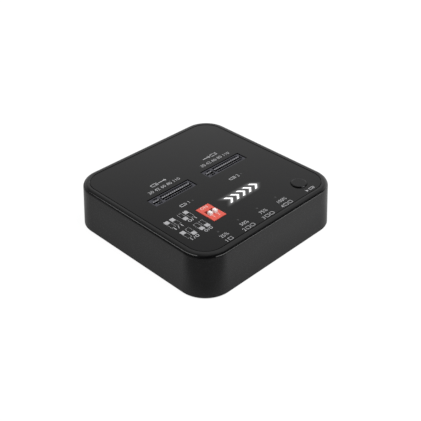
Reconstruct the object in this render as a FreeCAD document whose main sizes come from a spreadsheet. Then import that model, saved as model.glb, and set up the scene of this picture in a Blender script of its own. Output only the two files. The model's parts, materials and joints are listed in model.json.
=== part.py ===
import FreeCAD, Part
import math
import os
import re
import Sketcher

# Desktop duplicator for two M.2 drives: a low square housing with rounded corners, a sunk top
# panel, two upright card sockets, a two-way mode switch, a start button and four progress lights.
# Frame: X to the right along the front edge, Y towards the back, Z up, in millimetres.
# Origin: centre of the footprint, on the surface that the rubber feet stand on.

DIMENSIONS = {
    # Housing: outline at the rim, which flares a little towards the open underside
    "body_width": 77.3,
    "body_height": 19.0,
    "base_flare": 1.1,
    "corner_radius": 11.1,
    "rim_width": 2.9,
    "rim_round": 1.75,
    "rim_inner_bevel": 0.15,
    "wall": 2.0,
    "roof": 1.6,
    # Inside the housing: corner blocks for the screws, ribs that hold the main board down and
    # clips that hold the control board up
    "block_half": 2.6,
    "block_height": 9.0,
    "rib_reach": 3.0,
    "rib_thick": 1.2,
    "rear_rib_y": 13.0,
    "front_rib_y": -12.0,
    "rear_clip_y": -9.0,
    "front_clip_y": -20.0,
    "clip_length": 3.0,
    "clip_leg": 1.0,
    "clip_rest": 1.0,
    "clip_barb": 0.5,
    "clip_barb_height": 0.6,
    "clip_gap": 0.1,
    # Top panel, glued into the recess inside the rim
    "panel_recess": 0.1,
    "panel_thick": 1.0,
    "panel_gap": 0.25,
    "window_bevel": 0.08,
    # Base plate, its feet and its countersunk screws
    "plate_thick": 2.0,
    "plate_gap": 0.1,
    "plate_ledge": 1.2,
    "support_x": 20.0,
    "support_y": 19.0,
    "support_length": 8.0,
    "foot_gap": 0.7,
    "foot_offset": 26.5,
    "foot_radius": 4.0,
    "screw_offset": 32.3,
    "screw_length": 7.0,
    "screw_head_radius": 1.7,
    "screw_head_height": 0.9,
    "screw_hole_radius": 1.1,
    "thread_radius": 0.9,
    "pilot_radius": 0.95,
    "pilot_depth": 6.0,
    "recess_arm": 1.0,
    "recess_width": 0.35,
    "recess_depth": 0.5,
    # Main circuit board, notched round the corner blocks
    "board_thick": 1.6,
    "board_half": 36.1,
    "board_gap": 0.3,
    # Card sockets, keyed for M: 75 positions in two staggered rows
    "socket_y": 3.25,
    "source_x": -15.5,
    "target_x": 14.1,
    "socket_length": 21.8,
    "socket_width": 5.2,
    "socket_height": 10.0,
    "socket_sink": 0.3,
    "card_slot_length": 20.2,
    "card_slot_width": 1.2,
    "card_slot_depth": 7.0,
    "slot_bevel": 0.4,
    "rail_thick": 0.5,
    "rail_height": 1.4,
    "trough_width": 1.0,
    "trough_margin": 0.3,
    "tail_channel": 0.3,
    "key_x": -6.125,
    "key_web": 1.15,
    "contact_pitch": 0.5,
    "contact_count": 75,
    "key_first_pin": 59,
    "key_last_pin": 66,
    "contact_width": 0.22,
    "contact_thick": 0.14,
    "leaf_tail_y": 3.3,
    "leaf_foot_y": 1.85,
    "leaf_bump_y": 0.42,
    "leaf_bump_z": 7.0,
    "leaf_tip_y": 1.45,
    "leaf_tip_z": 8.4,
    "tab_reach": 1.2,
    "tab_height": 2.2,
    "tab_width": 3.0,
    "tab_thick": 0.25,
    "window_length": 22.3,
    "window_width": 5.6,
    # Control board with the switches and lights, clipped up under the roof
    "control_thick": 1.2,
    "control_width": 62.0,
    "control_depth": 29.8,
    "control_y": -19.3,
    # Mode switch: two sliders, at their front end when off
    "dip_x": -14.45,
    "dip_y": -17.55,
    "dip_width": 6.6,
    "dip_depth": 10.1,
    "dip_height": 5.4,
    "dip_proud": 0.2,
    "dip_base": 1.0,
    "dip_wall": 0.8,
    "dip_pitch": 2.54,
    "dip_slot_width": 1.7,
    "dip_slot_length": 3.6,
    "dip_cavity_width": 2.1,
    "dip_cavity_length": 6.0,
    "dip_gap": 0.15,
    "slider_width": 1.5,
    "slider_length": 1.7,
    "slider_rise": 1.3,
    "slider_round": 0.4,
    "slider_foot_width": 1.9,
    "slider_foot_length": 2.6,
    "slider_foot_height": 0.7,
    "slider_gap": 0.1,
    "lead_width": 0.5,
    "lead_thick": 0.25,
    "lead_exit": 0.9,
    "lead_reach": 1.3,
    # Start button over a low key switch
    "button_x": 25.2,
    "button_y": -28.5,
    "button_radius": 3.25,
    "button_gap": 0.2,
    "button_rise": 0.5,
    "button_bevel": 0.35,
    "button_knee": 0.1,
    "button_flange": 3.85,
    "flange_thick": 0.6,
    "flange_gap": 0.15,
    "key_switch_width": 4.5,
    "key_switch_height": 1.1,
    "plunger_radius": 1.1,
    "plunger_gap": 0.2,
    "plunger_rest": 0.6,
    # Lights
    "progress_x": -21.7,
    "progress_pitch": 10.77,
    "progress_y": -28.6,
    "slot_light_x": -14.2,
    "slot_light_spacing": 28.0,
    "slot_light_y": -6.7,
    "guide_rib": 1.6,
    "guide_flange": 2.6,
    "guide_flange_height": 1.0,
    "guide_gap": 0.1,
    "status_x": 4.7,
    "status_y": -16.85,
    "status_length": 20.6,
    "status_width": 5.2,
    "status_flange": 0.8,
    "lamp_length": 1.6,
    "lamp_width": 0.8,
    "lamp_height": 0.7,
    "status_lamp_spacing": 6.0,
    # Ports at the back share one plane for their mouths
    "mouth_y": 38.9,
    "port_gap": 0.2,
    "port_cut": 4.0,
    # Data port: a USB-C receptacle
    "usb_x": 0.0,
    "usb_width": 8.94,
    "usb_height": 3.26,
    "usb_depth": 7.35,
    "usb_skin": 0.3,
    "usb_flat": 0.1,
    "usb_tongue_width": 6.7,
    "usb_tongue_thick": 0.7,
    "usb_tongue_length": 5.6,
    # Power socket: round plug, sunk through the board's rear edge
    "jack_x": 20.5,
    "jack_z": 10.2,
    "jack_width": 9.0,
    "jack_length": 12.0,
    "jack_nose": 3.9,
    "jack_bore": 3.0,
    "jack_bore_depth": 10.0,
    "jack_pin": 1.0,
    "jack_pin_length": 8.8,
    "jack_gap": 0.1,
    "jack_ear": 1.2,
    "jack_ear_inset": 2.0,
    # Power switch: a slider in a sunk slot, at its left end when off
    "power_x": -20.5,
    "power_width": 8.6,
    "power_height": 3.6,
    "power_depth": 4.0,
    "power_travel": 2.0,
    "power_sink": 0.4,
    "power_front": 0.8,
    "power_gap": 0.2,
    "power_knob_width": 1.8,
    "power_knob_height": 1.4,
    "power_knob_bevel": 0.25,
    "power_foot_width": 2.8,
    "power_foot_height": 2.0,
    "power_foot_thick": 1.2,
    "power_opening_width": 5.0,
    "power_opening_height": 2.4,
    "power_opening_corner": 0.5,
    # Link between the boards: two rows of bent square pins in a moulded strip
    "link_x": 2.8,
    "link_y": -22.7,
    "link_pitch": 2.54,
    "link_columns": 5,
    "link_pin": 0.64,
    "link_toe": 1.5,
    "link_gap": 0.1,
    "link_strip": 2.5,
}

# Levels and places that follow from the dimensions above
DERIVED = {
    "rim_top": "foot_gap + body_height",
    "panel_top": "rim_top - panel_recess",
    "panel_seat": "panel_top - panel_thick",
    "roof_under": "panel_seat - roof",
    "wall_face": "body_width / 2",
    "inner_half": "wall_face - wall",
    "inner_corner": "corner_radius - wall",
    "plate_top": "foot_gap + plate_thick",
    "board_top": "panel_top - socket_sink - socket_height",
    "board_under": "board_top - board_thick",
    "dip_top": "panel_top + dip_proud",
    "control_top": "dip_top - dip_height",
    "control_under": "control_top - control_thick",
    "button_top": "panel_top + button_rise",
    "flange_top": "roof_under - flange_gap",
    "flange_under": "flange_top - flange_thick",
    "panel_width": "body_width - 2 * rim_width",
    "panel_corner": "corner_radius - rim_width",
    "usb_z": "board_top + usb_height / 2",
    "jack_face": "inner_half - jack_gap",
    "power_z": "board_top + power_height / 2",
    "power_face": "inner_half - power_sink",
    "power_seat": "power_face - power_front - power_gap",
    "power_end": "mouth_y",
    "power_rest": "power_x - power_travel / 2",
    "slider_rest": "dip_y - dip_slot_length / 2 + slider_gap + slider_length / 2",
    "slider_seat": "dip_height - dip_wall - slider_gap",
}

SLIGHT = 1e-4  # below this, two lengths or volumes count as equal

document = FreeCAD.newDocument("drive_duplicator")
sheet = document.addObject("Spreadsheet::Sheet", "dims")
for row, (alias, number) in enumerate(DIMENSIONS.items(), start=1):
    sheet.set(f"A{row}", alias)
    sheet.set(f"B{row}", str(number))
    sheet.setAlias(f"B{row}", alias)
document.recompute()


# ---------------------------------------------------------------- expressions and sketches

def formula(text):
    """Spell a formula in dimension names out for the expression engine."""
    def spell(match):
        word = match.group()
        if word in DERIVED:
            return "(" + formula(DERIVED[word]) + ")"
        return "dims." + word if word in DIMENSIONS else word
    return re.sub(r"[a-z][a-z_]*", spell, str(text))


def value(text):
    """The present value of a formula, in millimetres."""
    return float(sheet.evalExpression(formula(text)))


def bind(thing, **properties):
    """Tie properties of an object to formulas; a double underscore stands for a dot."""
    for name, text in properties.items():
        thing.setExpression(name.replace("__", "."), formula(text))


def new_body(label, x="0", y="0", z="0"):
    """A new sub-part, whose own origin lies at x, y, z."""
    body = document.addObject("PartDesign::Body", label)
    body.Label = label
    bind(body, Placement__Base__x=x, Placement__Base__y=y, Placement__Base__z=z)
    return body


def origin_part(body, role):
    """One of the body's own origin planes or axes."""
    return next(part for part in body.Origin.OriginFeatures if part.Role == role)


def new_sketch(body, name, plane="XY_Plane", right="0", up="0", out="0"):
    """A sketch on an origin plane, shifted in that plane and along its normal.

    The XZ plane's normal points to the front (-Y); the YZ plane's points right (+X).
    """
    sketch = body.newObject("Sketcher::SketchObject", name)
    sketch.AttachmentSupport = [(origin_part(body, plane), "")]
    sketch.MapMode = "FlatFace"
    bind(sketch, AttachmentOffset__Base__x=right, AttachmentOffset__Base__y=up,
         AttachmentOffset__Base__z=out)
    return sketch


def rear_sketch(body, name, y, right="0", up="0"):
    """A sketch that faces the front, at a given place from front to back."""
    return new_sketch(body, name, "XZ_Plane", right, up, f"-1 * ({y})")


def constrain(sketch, kind, where, text, name):
    """Add a dimension that follows a formula."""
    index = sketch.addConstraint(Sketcher.Constraint(kind, *where, value(text)))
    sketch.renameConstraint(index, name)
    sketch.setExpression("Constraints." + name, formula(text))


def place_point(sketch, geometry, end, x, y):
    """Fix one end or centre of a piece of geometry at x, y from the sketch's origin."""
    for kind, text, axis in (("DistanceX", x, -2), ("DistanceY", y, -1)):
        if abs(value(text)) < SLIGHT:
            sketch.addConstraint(Sketcher.Constraint("PointOnObject", geometry, end, axis))
        else:
            name = f"{kind[-1].lower()}_{geometry}_{end}"
            constrain(sketch, kind, (-1, 1, geometry, end), text, name)


def polygon(sketch, points):
    """A closed outline through points given as pairs of formulas."""
    corners = [FreeCAD.Vector(value(x), value(y), 0) for x, y in points]
    first = sketch.GeometryCount
    for start, end in zip(corners, corners[1:] + corners[:1]):
        sketch.addGeometry(Part.LineSegment(start, end))
    count = len(corners)
    for index in range(count):
        following = (index + 1) % count
        sketch.addConstraint(
            Sketcher.Constraint("Coincident", first + index, 2, first + following, 1))
    for index, (x, y) in enumerate(points):
        place_point(sketch, first + index, 1, x, y)


def rectangle(sketch, width, depth, x="0", y="0"):
    """A rectangle centred at x, y."""
    left, right = f"({x}) - ({width}) / 2", f"({x}) + ({width}) / 2"
    low, high = f"({y}) - ({depth}) / 2", f"({y}) + ({depth}) / 2"
    polygon(sketch, [(left, low), (right, low), (right, high), (left, high)])


def circle(sketch, radius):
    """A circle about the sketch's origin."""
    centre, normal = FreeCAD.Vector(0, 0, 0), FreeCAD.Vector(0, 0, 1)
    index = sketch.addGeometry(Part.Circle(centre, normal, value(radius)))
    place_point(sketch, index, 3, "0", "0")
    constrain(sketch, "Radius", (index,), radius, "radius")


def rounded_rectangle(sketch, width, depth, radius):
    """A rectangle with round corners, centred at the sketch's origin."""
    half_x, half_y, round_off = value(width) / 2, value(depth) / 2, value(radius)
    core_x, core_y = half_x - round_off, half_y - round_off
    normal = FreeCAD.Vector(0, 0, 1)
    sides = [((-core_x, -half_y), (core_x, -half_y)), ((half_x, -core_y), (half_x, core_y)),
             ((core_x, half_y), (-core_x, half_y)), ((-half_x, core_y), (-half_x, -core_y))]
    centres = [(core_x, -core_y), (core_x, core_y), (-core_x, core_y), (-core_x, -core_y)]
    for quarter in range(4):
        start, end = (FreeCAD.Vector(*point, 0) for point in sides[quarter])
        turn = (quarter - 1) * math.pi / 2
        corner = Part.Circle(FreeCAD.Vector(*centres[quarter], 0), normal, round_off)
        sketch.addGeometry(Part.LineSegment(start, end))
        sketch.addGeometry(Part.ArcOfCircle(corner, turn, turn + math.pi / 2))
    for side in range(0, 8, 2):
        sketch.addConstraint(Sketcher.Constraint("Tangent", side, 2, side + 1, 1))
        sketch.addConstraint(Sketcher.Constraint("Tangent", side + 1, 2, (side + 2) % 8, 1))
        direction = "Horizontal" if side % 4 == 0 else "Vertical"
        sketch.addConstraint(Sketcher.Constraint(direction, side))
    for arc in (3, 5, 7):
        sketch.addConstraint(Sketcher.Constraint("Equal", 1, arc))
    sketch.addConstraint(Sketcher.Constraint("Symmetric", 0, 1, 4, 1, -1, 1))
    constrain(sketch, "DistanceX", (6, 1, 2, 1), width, "width")
    constrain(sketch, "DistanceY", (0, 1, 4, 1), depth, "depth")
    constrain(sketch, "Radius", (1,), radius, "corner")


# ---------------------------------------------------------------- features

def settled(body):
    """Recompute and return the volume of what the body holds so far."""
    document.recompute()
    return 0.0 if body.Tip is None or body.Tip.Shape.isNull() else body.Tip.Shape.Volume


def extrude(body, kind, sketch, length, name, reverse, both_ways):
    """Add a pad or a pocket, and stop if it doesn't change the body the way it should."""
    before = settled(body)
    feature = body.newObject("PartDesign::" + kind, name)
    feature.Profile = sketch
    feature.Reversed = reverse
    feature.Midplane = both_ways
    bind(feature, Length=length)
    change = settled(body) - before
    if (change if kind == "Pad" else -change) < SLIGHT:
        raise RuntimeError(f"{body.Label}: {name} changes nothing")
    return feature


def pad(body, sketch, length, name="pad", reverse=False, both_ways=False):
    """Extrude a sketch along its normal."""
    return extrude(body, "Pad", sketch, length, name, reverse, both_ways)


def pocket(body, sketch, length, name="pocket", reverse=False):
    """Cut a sketch's outline out, against its normal."""
    return extrude(body, "Pocket", sketch, length, name, reverse, False)


def turn(body, sketch, name="turned", kind="Revolution"):
    """Turn a sketch a full circle about its own upright axis, to add or (as a Groove) to cut."""
    feature = body.newObject("PartDesign::" + kind, name)
    feature.Profile = sketch
    feature.ReferenceAxis = (sketch, ["V_Axis"])
    feature.Angle = 360
    document.recompute()
    return feature


def dress(body, kind, base, size, keep, name):
    """Fillet or chamfer the edges of a feature whose vertices all pass a test."""
    document.recompute()
    picked = [f"Edge{number}" for number, edge in enumerate(base.Shape.Edges, start=1)
              if all(keep(vertex.Point) for vertex in edge.Vertexes)]
    if not picked:
        raise RuntimeError(f"{body.Label}: {name} finds no edge")
    feature = body.newObject("PartDesign::" + kind, name)
    feature.Base = (base, picked)
    bind(feature, **{"Radius" if kind == "Fillet" else "Size": size})
    document.recompute()
    return feature


def around(body, features, name="four_corners"):
    """Repeat features in all four corners, about the body's upright axis."""
    pattern = body.newObject("PartDesign::PolarPattern", name)
    pattern.Originals = features
    pattern.Axis = (origin_part(body, "Z_Axis"), [""])
    pattern.Angle = 360
    pattern.Occurrences = 4
    body.Tip = pattern
    document.recompute()
    return pattern


def along_x(body, features, spacing, count, name="row"):
    """Repeat features along X at a fixed spacing."""
    pattern = body.newObject("PartDesign::LinearPattern", name)
    pattern.Originals = features
    pattern.Direction = (origin_part(body, "X_Axis"), [""])
    pattern.Occurrences = count
    bind(pattern, Length=f"({spacing}) * {count - 1}")
    body.Tip = pattern
    document.recompute()
    return pattern


def mirror_x(body, features, name="other_side"):
    """Repeat features on the other side of the body's YZ plane."""
    mirror = body.newObject("PartDesign::Mirrored", name)
    mirror.Originals = features
    mirror.MirrorPlane = (origin_part(body, "YZ_Plane"), [""])
    body.Tip = mirror
    document.recompute()
    return mirror


def at_height(text):
    """A test for points at one height in the body's own frame."""
    level = value(text)
    return lambda point: abs(point.z - level) < SLIGHT


def block(label, x, y, z, width, depth, height):
    """A plain box-shaped component centred at x, y with its underside at z."""
    box = document.addObject("Part::Box", label)
    box.Label = label
    bind(box, Length=width, Width=depth, Height=height, Placement__Base__z=z,
         Placement__Base__x=f"({x}) - ({width}) / 2", Placement__Base__y=f"({y}) - ({depth}) / 2")
    return box


# ---------------------------------------------------------------- housing

def hollow_out(shell):
    """Cut the cavity, the base plate's seat and the recess for the top panel."""
    sketch = new_sketch(shell, "cavity_outline", out="foot_gap")
    rounded_rectangle(sketch, "2 * inner_half", "2 * inner_half", "inner_corner")
    pocket(shell, sketch, "roof_under - foot_gap", "cavity", reverse=True)
    sketch = new_sketch(shell, "plate_seat_outline", out="foot_gap")
    side = "2 * (inner_half + plate_ledge)"
    rounded_rectangle(sketch, side, side, "inner_corner + plate_ledge")
    pocket(shell, sketch, "plate_thick", "plate_seat", reverse=True)
    sketch = new_sketch(shell, "panel_seat_outline", out="rim_top")
    side = "panel_width + 2 * panel_gap"
    rounded_rectangle(sketch, side, side, "panel_corner + panel_gap")
    recess = pocket(shell, sketch, "panel_recess + panel_thick", "panel_seat_cut")
    reach = value("panel_width / 2 + panel_gap") + SLIGHT
    on_rim = at_height("rim_top")
    dress(shell, "Chamfer", recess, "rim_inner_bevel",
          lambda point: on_rim(point) and max(abs(point.x), abs(point.y)) < reach,
          "rim_inner_edge")


def add_fixings(shell):
    """Corner blocks for the base screws, ribs over the main board, clips for the control board."""
    sketch = new_sketch(shell, "block_outline", right="screw_offset", up="screw_offset",
                        out="plate_top")
    rectangle(sketch, "2 * block_half", "2 * block_half")
    corner = pad(shell, sketch, "block_height", "corner_block")
    sketch = new_sketch(shell, "pilot_outline", right="screw_offset", up="screw_offset",
                        out="plate_top")
    circle(sketch, "pilot_radius")
    pilot = pocket(shell, sketch, "pilot_depth", "pilot", reverse=True)
    around(shell, [corner, pilot])

    for end in ("rear", "front"):
        sketch = new_sketch(shell, f"{end}_rib_outline", right="inner_half - rib_reach / 2",
                            up=f"{end}_rib_y", out="board_top")
        rectangle(sketch, "rib_reach", "rib_thick")
        rib = pad(shell, sketch, "roof_under - board_top", f"{end}_rib")
        mirror_x(shell, [rib], f"{end}_ribs")

    edge = "control_width / 2"
    inner, outer = f"{edge} + clip_gap", f"{edge} + clip_gap + clip_leg"
    rest, barb = f"{edge} - clip_rest", f"{edge} - clip_barb"
    tip = "control_under - clip_barb_height"
    for end in ("rear", "front"):
        sketch = rear_sketch(shell, f"{end}_clip_profile", f"{end}_clip_y")
        polygon(sketch, [(outer, "roof_under"), (rest, "roof_under"), (rest, "control_top"),
                         (inner, "control_top"), (inner, "control_under"),
                         (barb, "control_under"), (barb, tip), (outer, tip)])
        clip = pad(shell, sketch, "clip_length", f"{end}_clip", both_ways=True)
        mirror_x(shell, [clip], f"{end}_clips")


def top_openings(cut):
    """Call cut for each opening that the roof and the panel share."""
    for side in ("source", "target"):
        cut(f"{side}_window", lambda s: rectangle(s, "window_length", "window_width"),
            f"{side}_x", "socket_y")
    cut("dip_window",
        lambda s: rectangle(s, "dip_width + 2 * dip_gap", "dip_depth + 2 * dip_gap"),
        "dip_x", "dip_y")
    cut("button_hole", lambda s: circle(s, "button_radius + button_gap"), "button_x", "button_y")


def light_openings(cut):
    """Call cut for each opening of the roof that takes a light guide or the diffuser."""
    rib = "guide_rib + 2 * guide_gap"
    cut("progress_opening", lambda s: rectangle(s, f"3 * progress_pitch + {rib}", rib),
        "progress_x + 1.5 * progress_pitch", "progress_y")
    for index in range(2):
        cut(f"slot_light_opening_{index + 1}", lambda s: rectangle(s, rib, rib),
            f"slot_light_x + {index} * slot_light_spacing", "slot_light_y")
    cut("status_opening", lambda s: rectangle(s, "status_length + 2 * guide_gap",
                                              "status_width + 2 * guide_gap"),
        "status_x", "status_y")


def cut_ports(shell):
    """Cut the rear wall out for the data port, the power socket and the power switch."""
    openings = (
        ("usb", "usb_x", "usb_z", lambda s: rounded_rectangle(
            s, "usb_width + 2 * port_gap", "usb_height + 2 * port_gap",
            "(usb_height - usb_flat) / 2 + port_gap")),
        ("jack", "jack_x", "jack_z", lambda s: circle(s, "jack_nose + port_gap")),
        ("power", "power_x", "power_z", lambda s: rounded_rectangle(
            s, "power_opening_width", "power_opening_height", "power_opening_corner")))
    for name, x, z, outline in openings:
        sketch = rear_sketch(shell, f"{name}_outline", "inner_half - port_gap", x, z)
        outline(sketch)
        pocket(shell, sketch, "port_cut", f"{name}_opening")


def make_housing_shell():
    """Moulded cup, open below: flared walls, sunk roof, corner blocks, ribs and clips."""
    shell = new_body("housing_shell")
    sketch = new_sketch(shell, "rim_outline", out="rim_top")
    rounded_rectangle(sketch, "body_width", "body_width", "corner_radius")
    walls = pad(shell, sketch, "body_height", "flared_block", reverse=True)
    bind(walls, TaperAngle="atan(base_flare / body_height)")
    dress(shell, "Fillet", walls, "rim_round", at_height("rim_top"), "rim_fillet")
    hollow_out(shell)
    add_fixings(shell)

    def cut_roof(name, outline, x, y):
        hole = new_sketch(shell, name + "_outline", right=x, up=y, out="panel_seat")
        outline(hole)
        pocket(shell, hole, "roof", name)

    top_openings(cut_roof)
    light_openings(cut_roof)
    cut_ports(shell)
    return shell


def make_top_panel():
    """Thin smoked panel glued into the recess of the roof; the lights shine through it."""
    panel = new_body("top_panel")
    sketch = new_sketch(panel, "panel_outline", out="panel_seat")
    rounded_rectangle(sketch, "panel_width", "panel_width", "panel_corner")
    pad(panel, sketch, "panel_thick", "plate")

    def cut_panel(name, outline, x, y):
        hole = new_sketch(panel, name + "_outline", right=x, up=y, out="panel_top")
        outline(hole)
        pocket(panel, hole, "panel_thick", name)

    top_openings(cut_panel)
    on_top = at_height("panel_top")
    ends = [value(f"{side}_x {sign} window_length / 2")
            for side in ("source", "target") for sign in "+-"]

    def at_window_corner(point):
        return on_top(point) and any(abs(point.x - end) < SLIGHT for end in ends)

    dress(panel, "Chamfer", panel.Tip, "window_bevel", at_window_corner, "window_bevels")
    return panel


def make_base_plate():
    """Flat cover for the underside, with ribs under the main board and countersunk holes."""
    plate = new_body("base_plate")
    sketch = new_sketch(plate, "plate_outline", out="foot_gap")
    side = "2 * (inner_half + plate_ledge - plate_gap)"
    rounded_rectangle(sketch, side, side, "inner_corner + plate_ledge - plate_gap")
    pad(plate, sketch, "plate_thick", "cover")
    sketch = new_sketch(plate, "support_outline", right="support_x", up="support_y",
                        out="plate_top")
    rectangle(sketch, "support_length", "rib_thick")
    support = pad(plate, sketch, "board_under - plate_top", "support")
    around(plate, [support], "supports")

    slope = "screw_head_height / (screw_head_radius - thread_radius)"
    depth = f"(screw_head_radius - screw_hole_radius) * {slope}"
    sketch = rear_sketch(plate, "countersink_profile", "screw_offset", "screw_offset", "foot_gap")
    polygon(sketch, [("0", "0"), ("screw_head_radius", "0"), ("screw_hole_radius", depth),
                     ("screw_hole_radius", "plate_thick"), ("0", "plate_thick")])
    around(plate, [turn(plate, sketch, "countersink", "Groove")], "screw_holes")
    return plate


def make_rubber_feet():
    """Four round feet, stuck to the base plate."""
    feet = new_body("rubber_feet")
    sketch = new_sketch(feet, "foot_outline", right="foot_offset", up="foot_offset")
    circle(sketch, "foot_radius")
    around(feet, [pad(feet, sketch, "foot_gap", "foot")])
    return feet


def make_base_screws():
    """Four countersunk screws with a cross recess, driven up into the corner blocks."""
    screws = new_body("base_screws")
    sketch = rear_sketch(screws, "screw_profile", "screw_offset", "screw_offset", "foot_gap")
    polygon(sketch, [("0", "0"), ("screw_head_radius", "0"), ("thread_radius", "screw_head_height"),
                     ("thread_radius", "screw_length"), ("0", "screw_length")])
    shank = turn(screws, sketch, "screw")
    sketch = new_sketch(screws, "recess_outline", right="screw_offset", up="screw_offset",
                        out="foot_gap")
    arm, half = "recess_arm", "recess_width / 2"
    corners = [(half, arm), (half, half), (arm, half)]
    outline = []
    for sign_x, sign_y, order in ((1, 1, -1), (-1, 1, 1), (-1, -1, -1), (1, -1, 1)):
        outline += [(f"{sign_x} * {x}", f"{sign_y} * {y}") for x, y in corners[::order]]
    polygon(sketch, outline[::-1])
    recess = pocket(screws, sketch, "recess_depth", "recess", reverse=True)
    around(screws, [shank, recess])
    return screws


# ---------------------------------------------------------------- boards and the link between them

def make_main_board():
    """Circuit board that fills the housing, notched round the blocks and the power socket."""
    board = new_body("main_board")
    sketch = new_sketch(board, "board_outline", out="board_under")
    half, notch = "board_half", "screw_offset - block_half - board_gap"
    corner = [(half, notch), (notch, notch), (notch, half)]
    outline = []
    for sign_x, sign_y, order in ((1, 1, 1), (-1, 1, -1), (-1, -1, 1), (1, -1, -1)):
        outline += [(f"{sign_x} * ({x})", f"{sign_y} * ({y})") for x, y in corner[::order]]
    polygon(sketch, outline)
    pad(board, sketch, "board_thick", "laminate")
    sketch = new_sketch(board, "jack_notch_outline", right="jack_x", out="board_top",
                        up="jack_face - jack_length / 2")
    rectangle(sketch, "jack_width + board_gap", "jack_length + board_gap")
    pocket(board, sketch, "board_thick", "jack_notch")
    return board


def make_control_board():
    """Smaller board under the roof for the switches and lights."""
    board = new_body("control_board")
    sketch = new_sketch(board, "board_outline", up="control_y", out="control_under")
    rectangle(sketch, "control_width", "control_depth")
    pad(board, sketch, "control_thick", "laminate")
    return board


def make_link():
    """Header that joins the two boards: bent square pins and the strip that holds them."""
    pins = new_body("link_header_pins", "link_x", "link_y", "board_top")
    height, near = "control_under - board_top", "link_pitch / 2 - link_pin / 2"
    first = "-1 * (link_columns - 1) / 2 * link_pitch"
    for sign, row in (("-1", "front"), ("1", "rear")):
        sketch = new_sketch(pins, f"{row}_pin_profile", "YZ_Plane", out=first)
        far, toe = f"{near} + link_pin", f"{near} + link_pin + link_toe"
        polygon(sketch, [(f"{sign} * ({y})", z) for y, z in (
            (near, "0"), (toe, "0"), (toe, "link_pin"), (far, "link_pin"), (far, height),
            (near, height))])
        pin = pad(pins, sketch, "link_pin", f"{row}_pin", both_ways=True)
        along_x(pins, [pin], "link_pitch", DIMENSIONS["link_columns"], f"{row}_pins")

    strip = new_body("link_header_strip", "link_x", "link_y", "board_top + link_pin + link_gap")
    sketch = new_sketch(strip, "strip_outline")
    rectangle(sketch, "link_columns * link_pitch", "2 * link_pitch")
    pad(strip, sketch, "link_strip", "moulding")
    for sign, row in (("-1", "front"), ("1", "rear")):
        sketch = new_sketch(strip, f"{row}_hole_outline", right=first, out="link_strip",
                            up=f"{sign} * link_pitch / 2")
        rectangle(sketch, "link_pin", "link_pin")
        hole = pocket(strip, sketch, "link_strip", f"{row}_hole")
        along_x(strip, [hole], "link_pitch", DIMENSIONS["link_columns"], f"{row}_holes")
    return [pins, strip]


# ---------------------------------------------------------------- card sockets

def pin_x(pin):
    """Place along the socket of a numbered contact; odd and even ones sit in opposite rows."""
    return f"((contact_count + 1) / 2 - {pin}) * contact_pitch / 2"


def contact_runs():
    """Each unbroken run of contacts: its row's side, its leftmost pin and how many there are."""
    for side, first in ((1, 1), (-1, 2)):
        pins = range(first, DIMENSIONS["contact_count"] + 1, 2)
        for run in ([pin for pin in pins if pin > DIMENSIONS["key_last_pin"]],
                    [pin for pin in pins if pin < DIMENSIONS["key_first_pin"]]):
            yield side, run[-1], len(run)


def contact_groups():
    """Left and right ends of the troughs on either side of the key."""
    before, after = DIMENSIONS["key_first_pin"] - 1, DIMENSIONS["key_last_pin"] + 1
    return ((f"{pin_x('contact_count')} - trough_margin", f"{pin_x(after)} + trough_margin"),
            (f"{pin_x(before)} - trough_margin", f"{pin_x(1)} + trough_margin"))


def make_socket_body(side):
    """Keyed upright card socket: bevelled slot, key web and open troughs for both contact rows."""
    body = new_body(f"{side}_socket_body", f"{side}_x", "socket_y", "board_top")
    sketch = new_sketch(body, "block_outline")
    rectangle(sketch, "socket_length", "socket_width")
    pad(body, sketch, "socket_height", "block")

    # Slot for the card's edge, in two lengths with the key web between them
    reach = "card_slot_length / 2"
    sketch = new_sketch(body, "slot_outline", out="socket_height")
    for low, high in ((f"-1 * {reach}", "key_x - key_web / 2"), ("key_x + key_web / 2", reach)):
        rectangle(sketch, f"({high}) - ({low})", "card_slot_width", f"(({low}) + ({high})) / 2")
    slot = pocket(body, sketch, "card_slot_depth", "card_slot")
    on_top, half_slot, end = at_height("socket_height"), value("card_slot_width / 2"), value(reach)

    def on_lead_in(point):
        return on_top(point) and abs(abs(point.y) - half_slot) < SLIGHT and abs(point.x) < end + SLIGHT

    dress(body, "Chamfer", slot, "slot_bevel", on_lead_in, "lead_in")

    # Troughs behind the rails, open to the board below
    sketch = new_sketch(body, "trough_outline", out="socket_height")
    middle = "card_slot_width / 2 + rail_thick + trough_width / 2"
    for low, high in contact_groups():
        for sign in ("1", "-1"):
            rectangle(sketch, f"({high}) - ({low})", "trough_width", f"(({low}) + ({high})) / 2",
                      f"{sign} * ({middle})")
    pocket(body, sketch, "socket_height", "troughs")

    # Below the rails each trough opens into the slot, and the contact tails leave at the board
    bottom, top = "(socket_height - card_slot_depth)", "(socket_height - rail_height)"
    for group, (low, high) in enumerate(contact_groups(), start=1):
        sketch = new_sketch(body, f"rail_opening_{group}_outline", "YZ_Plane", out=low)
        rectangle(sketch, "card_slot_width + 2 * rail_thick + contact_thick", f"{top} - {bottom}",
                  "0", f"({top} + {bottom}) / 2")
        rectangle(sketch, "socket_width + contact_thick", "tail_channel", "0", "tail_channel / 2")
        pocket(body, sketch, f"({high}) - ({low})", f"rail_opening_{group}", reverse=True)
    return body


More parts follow.
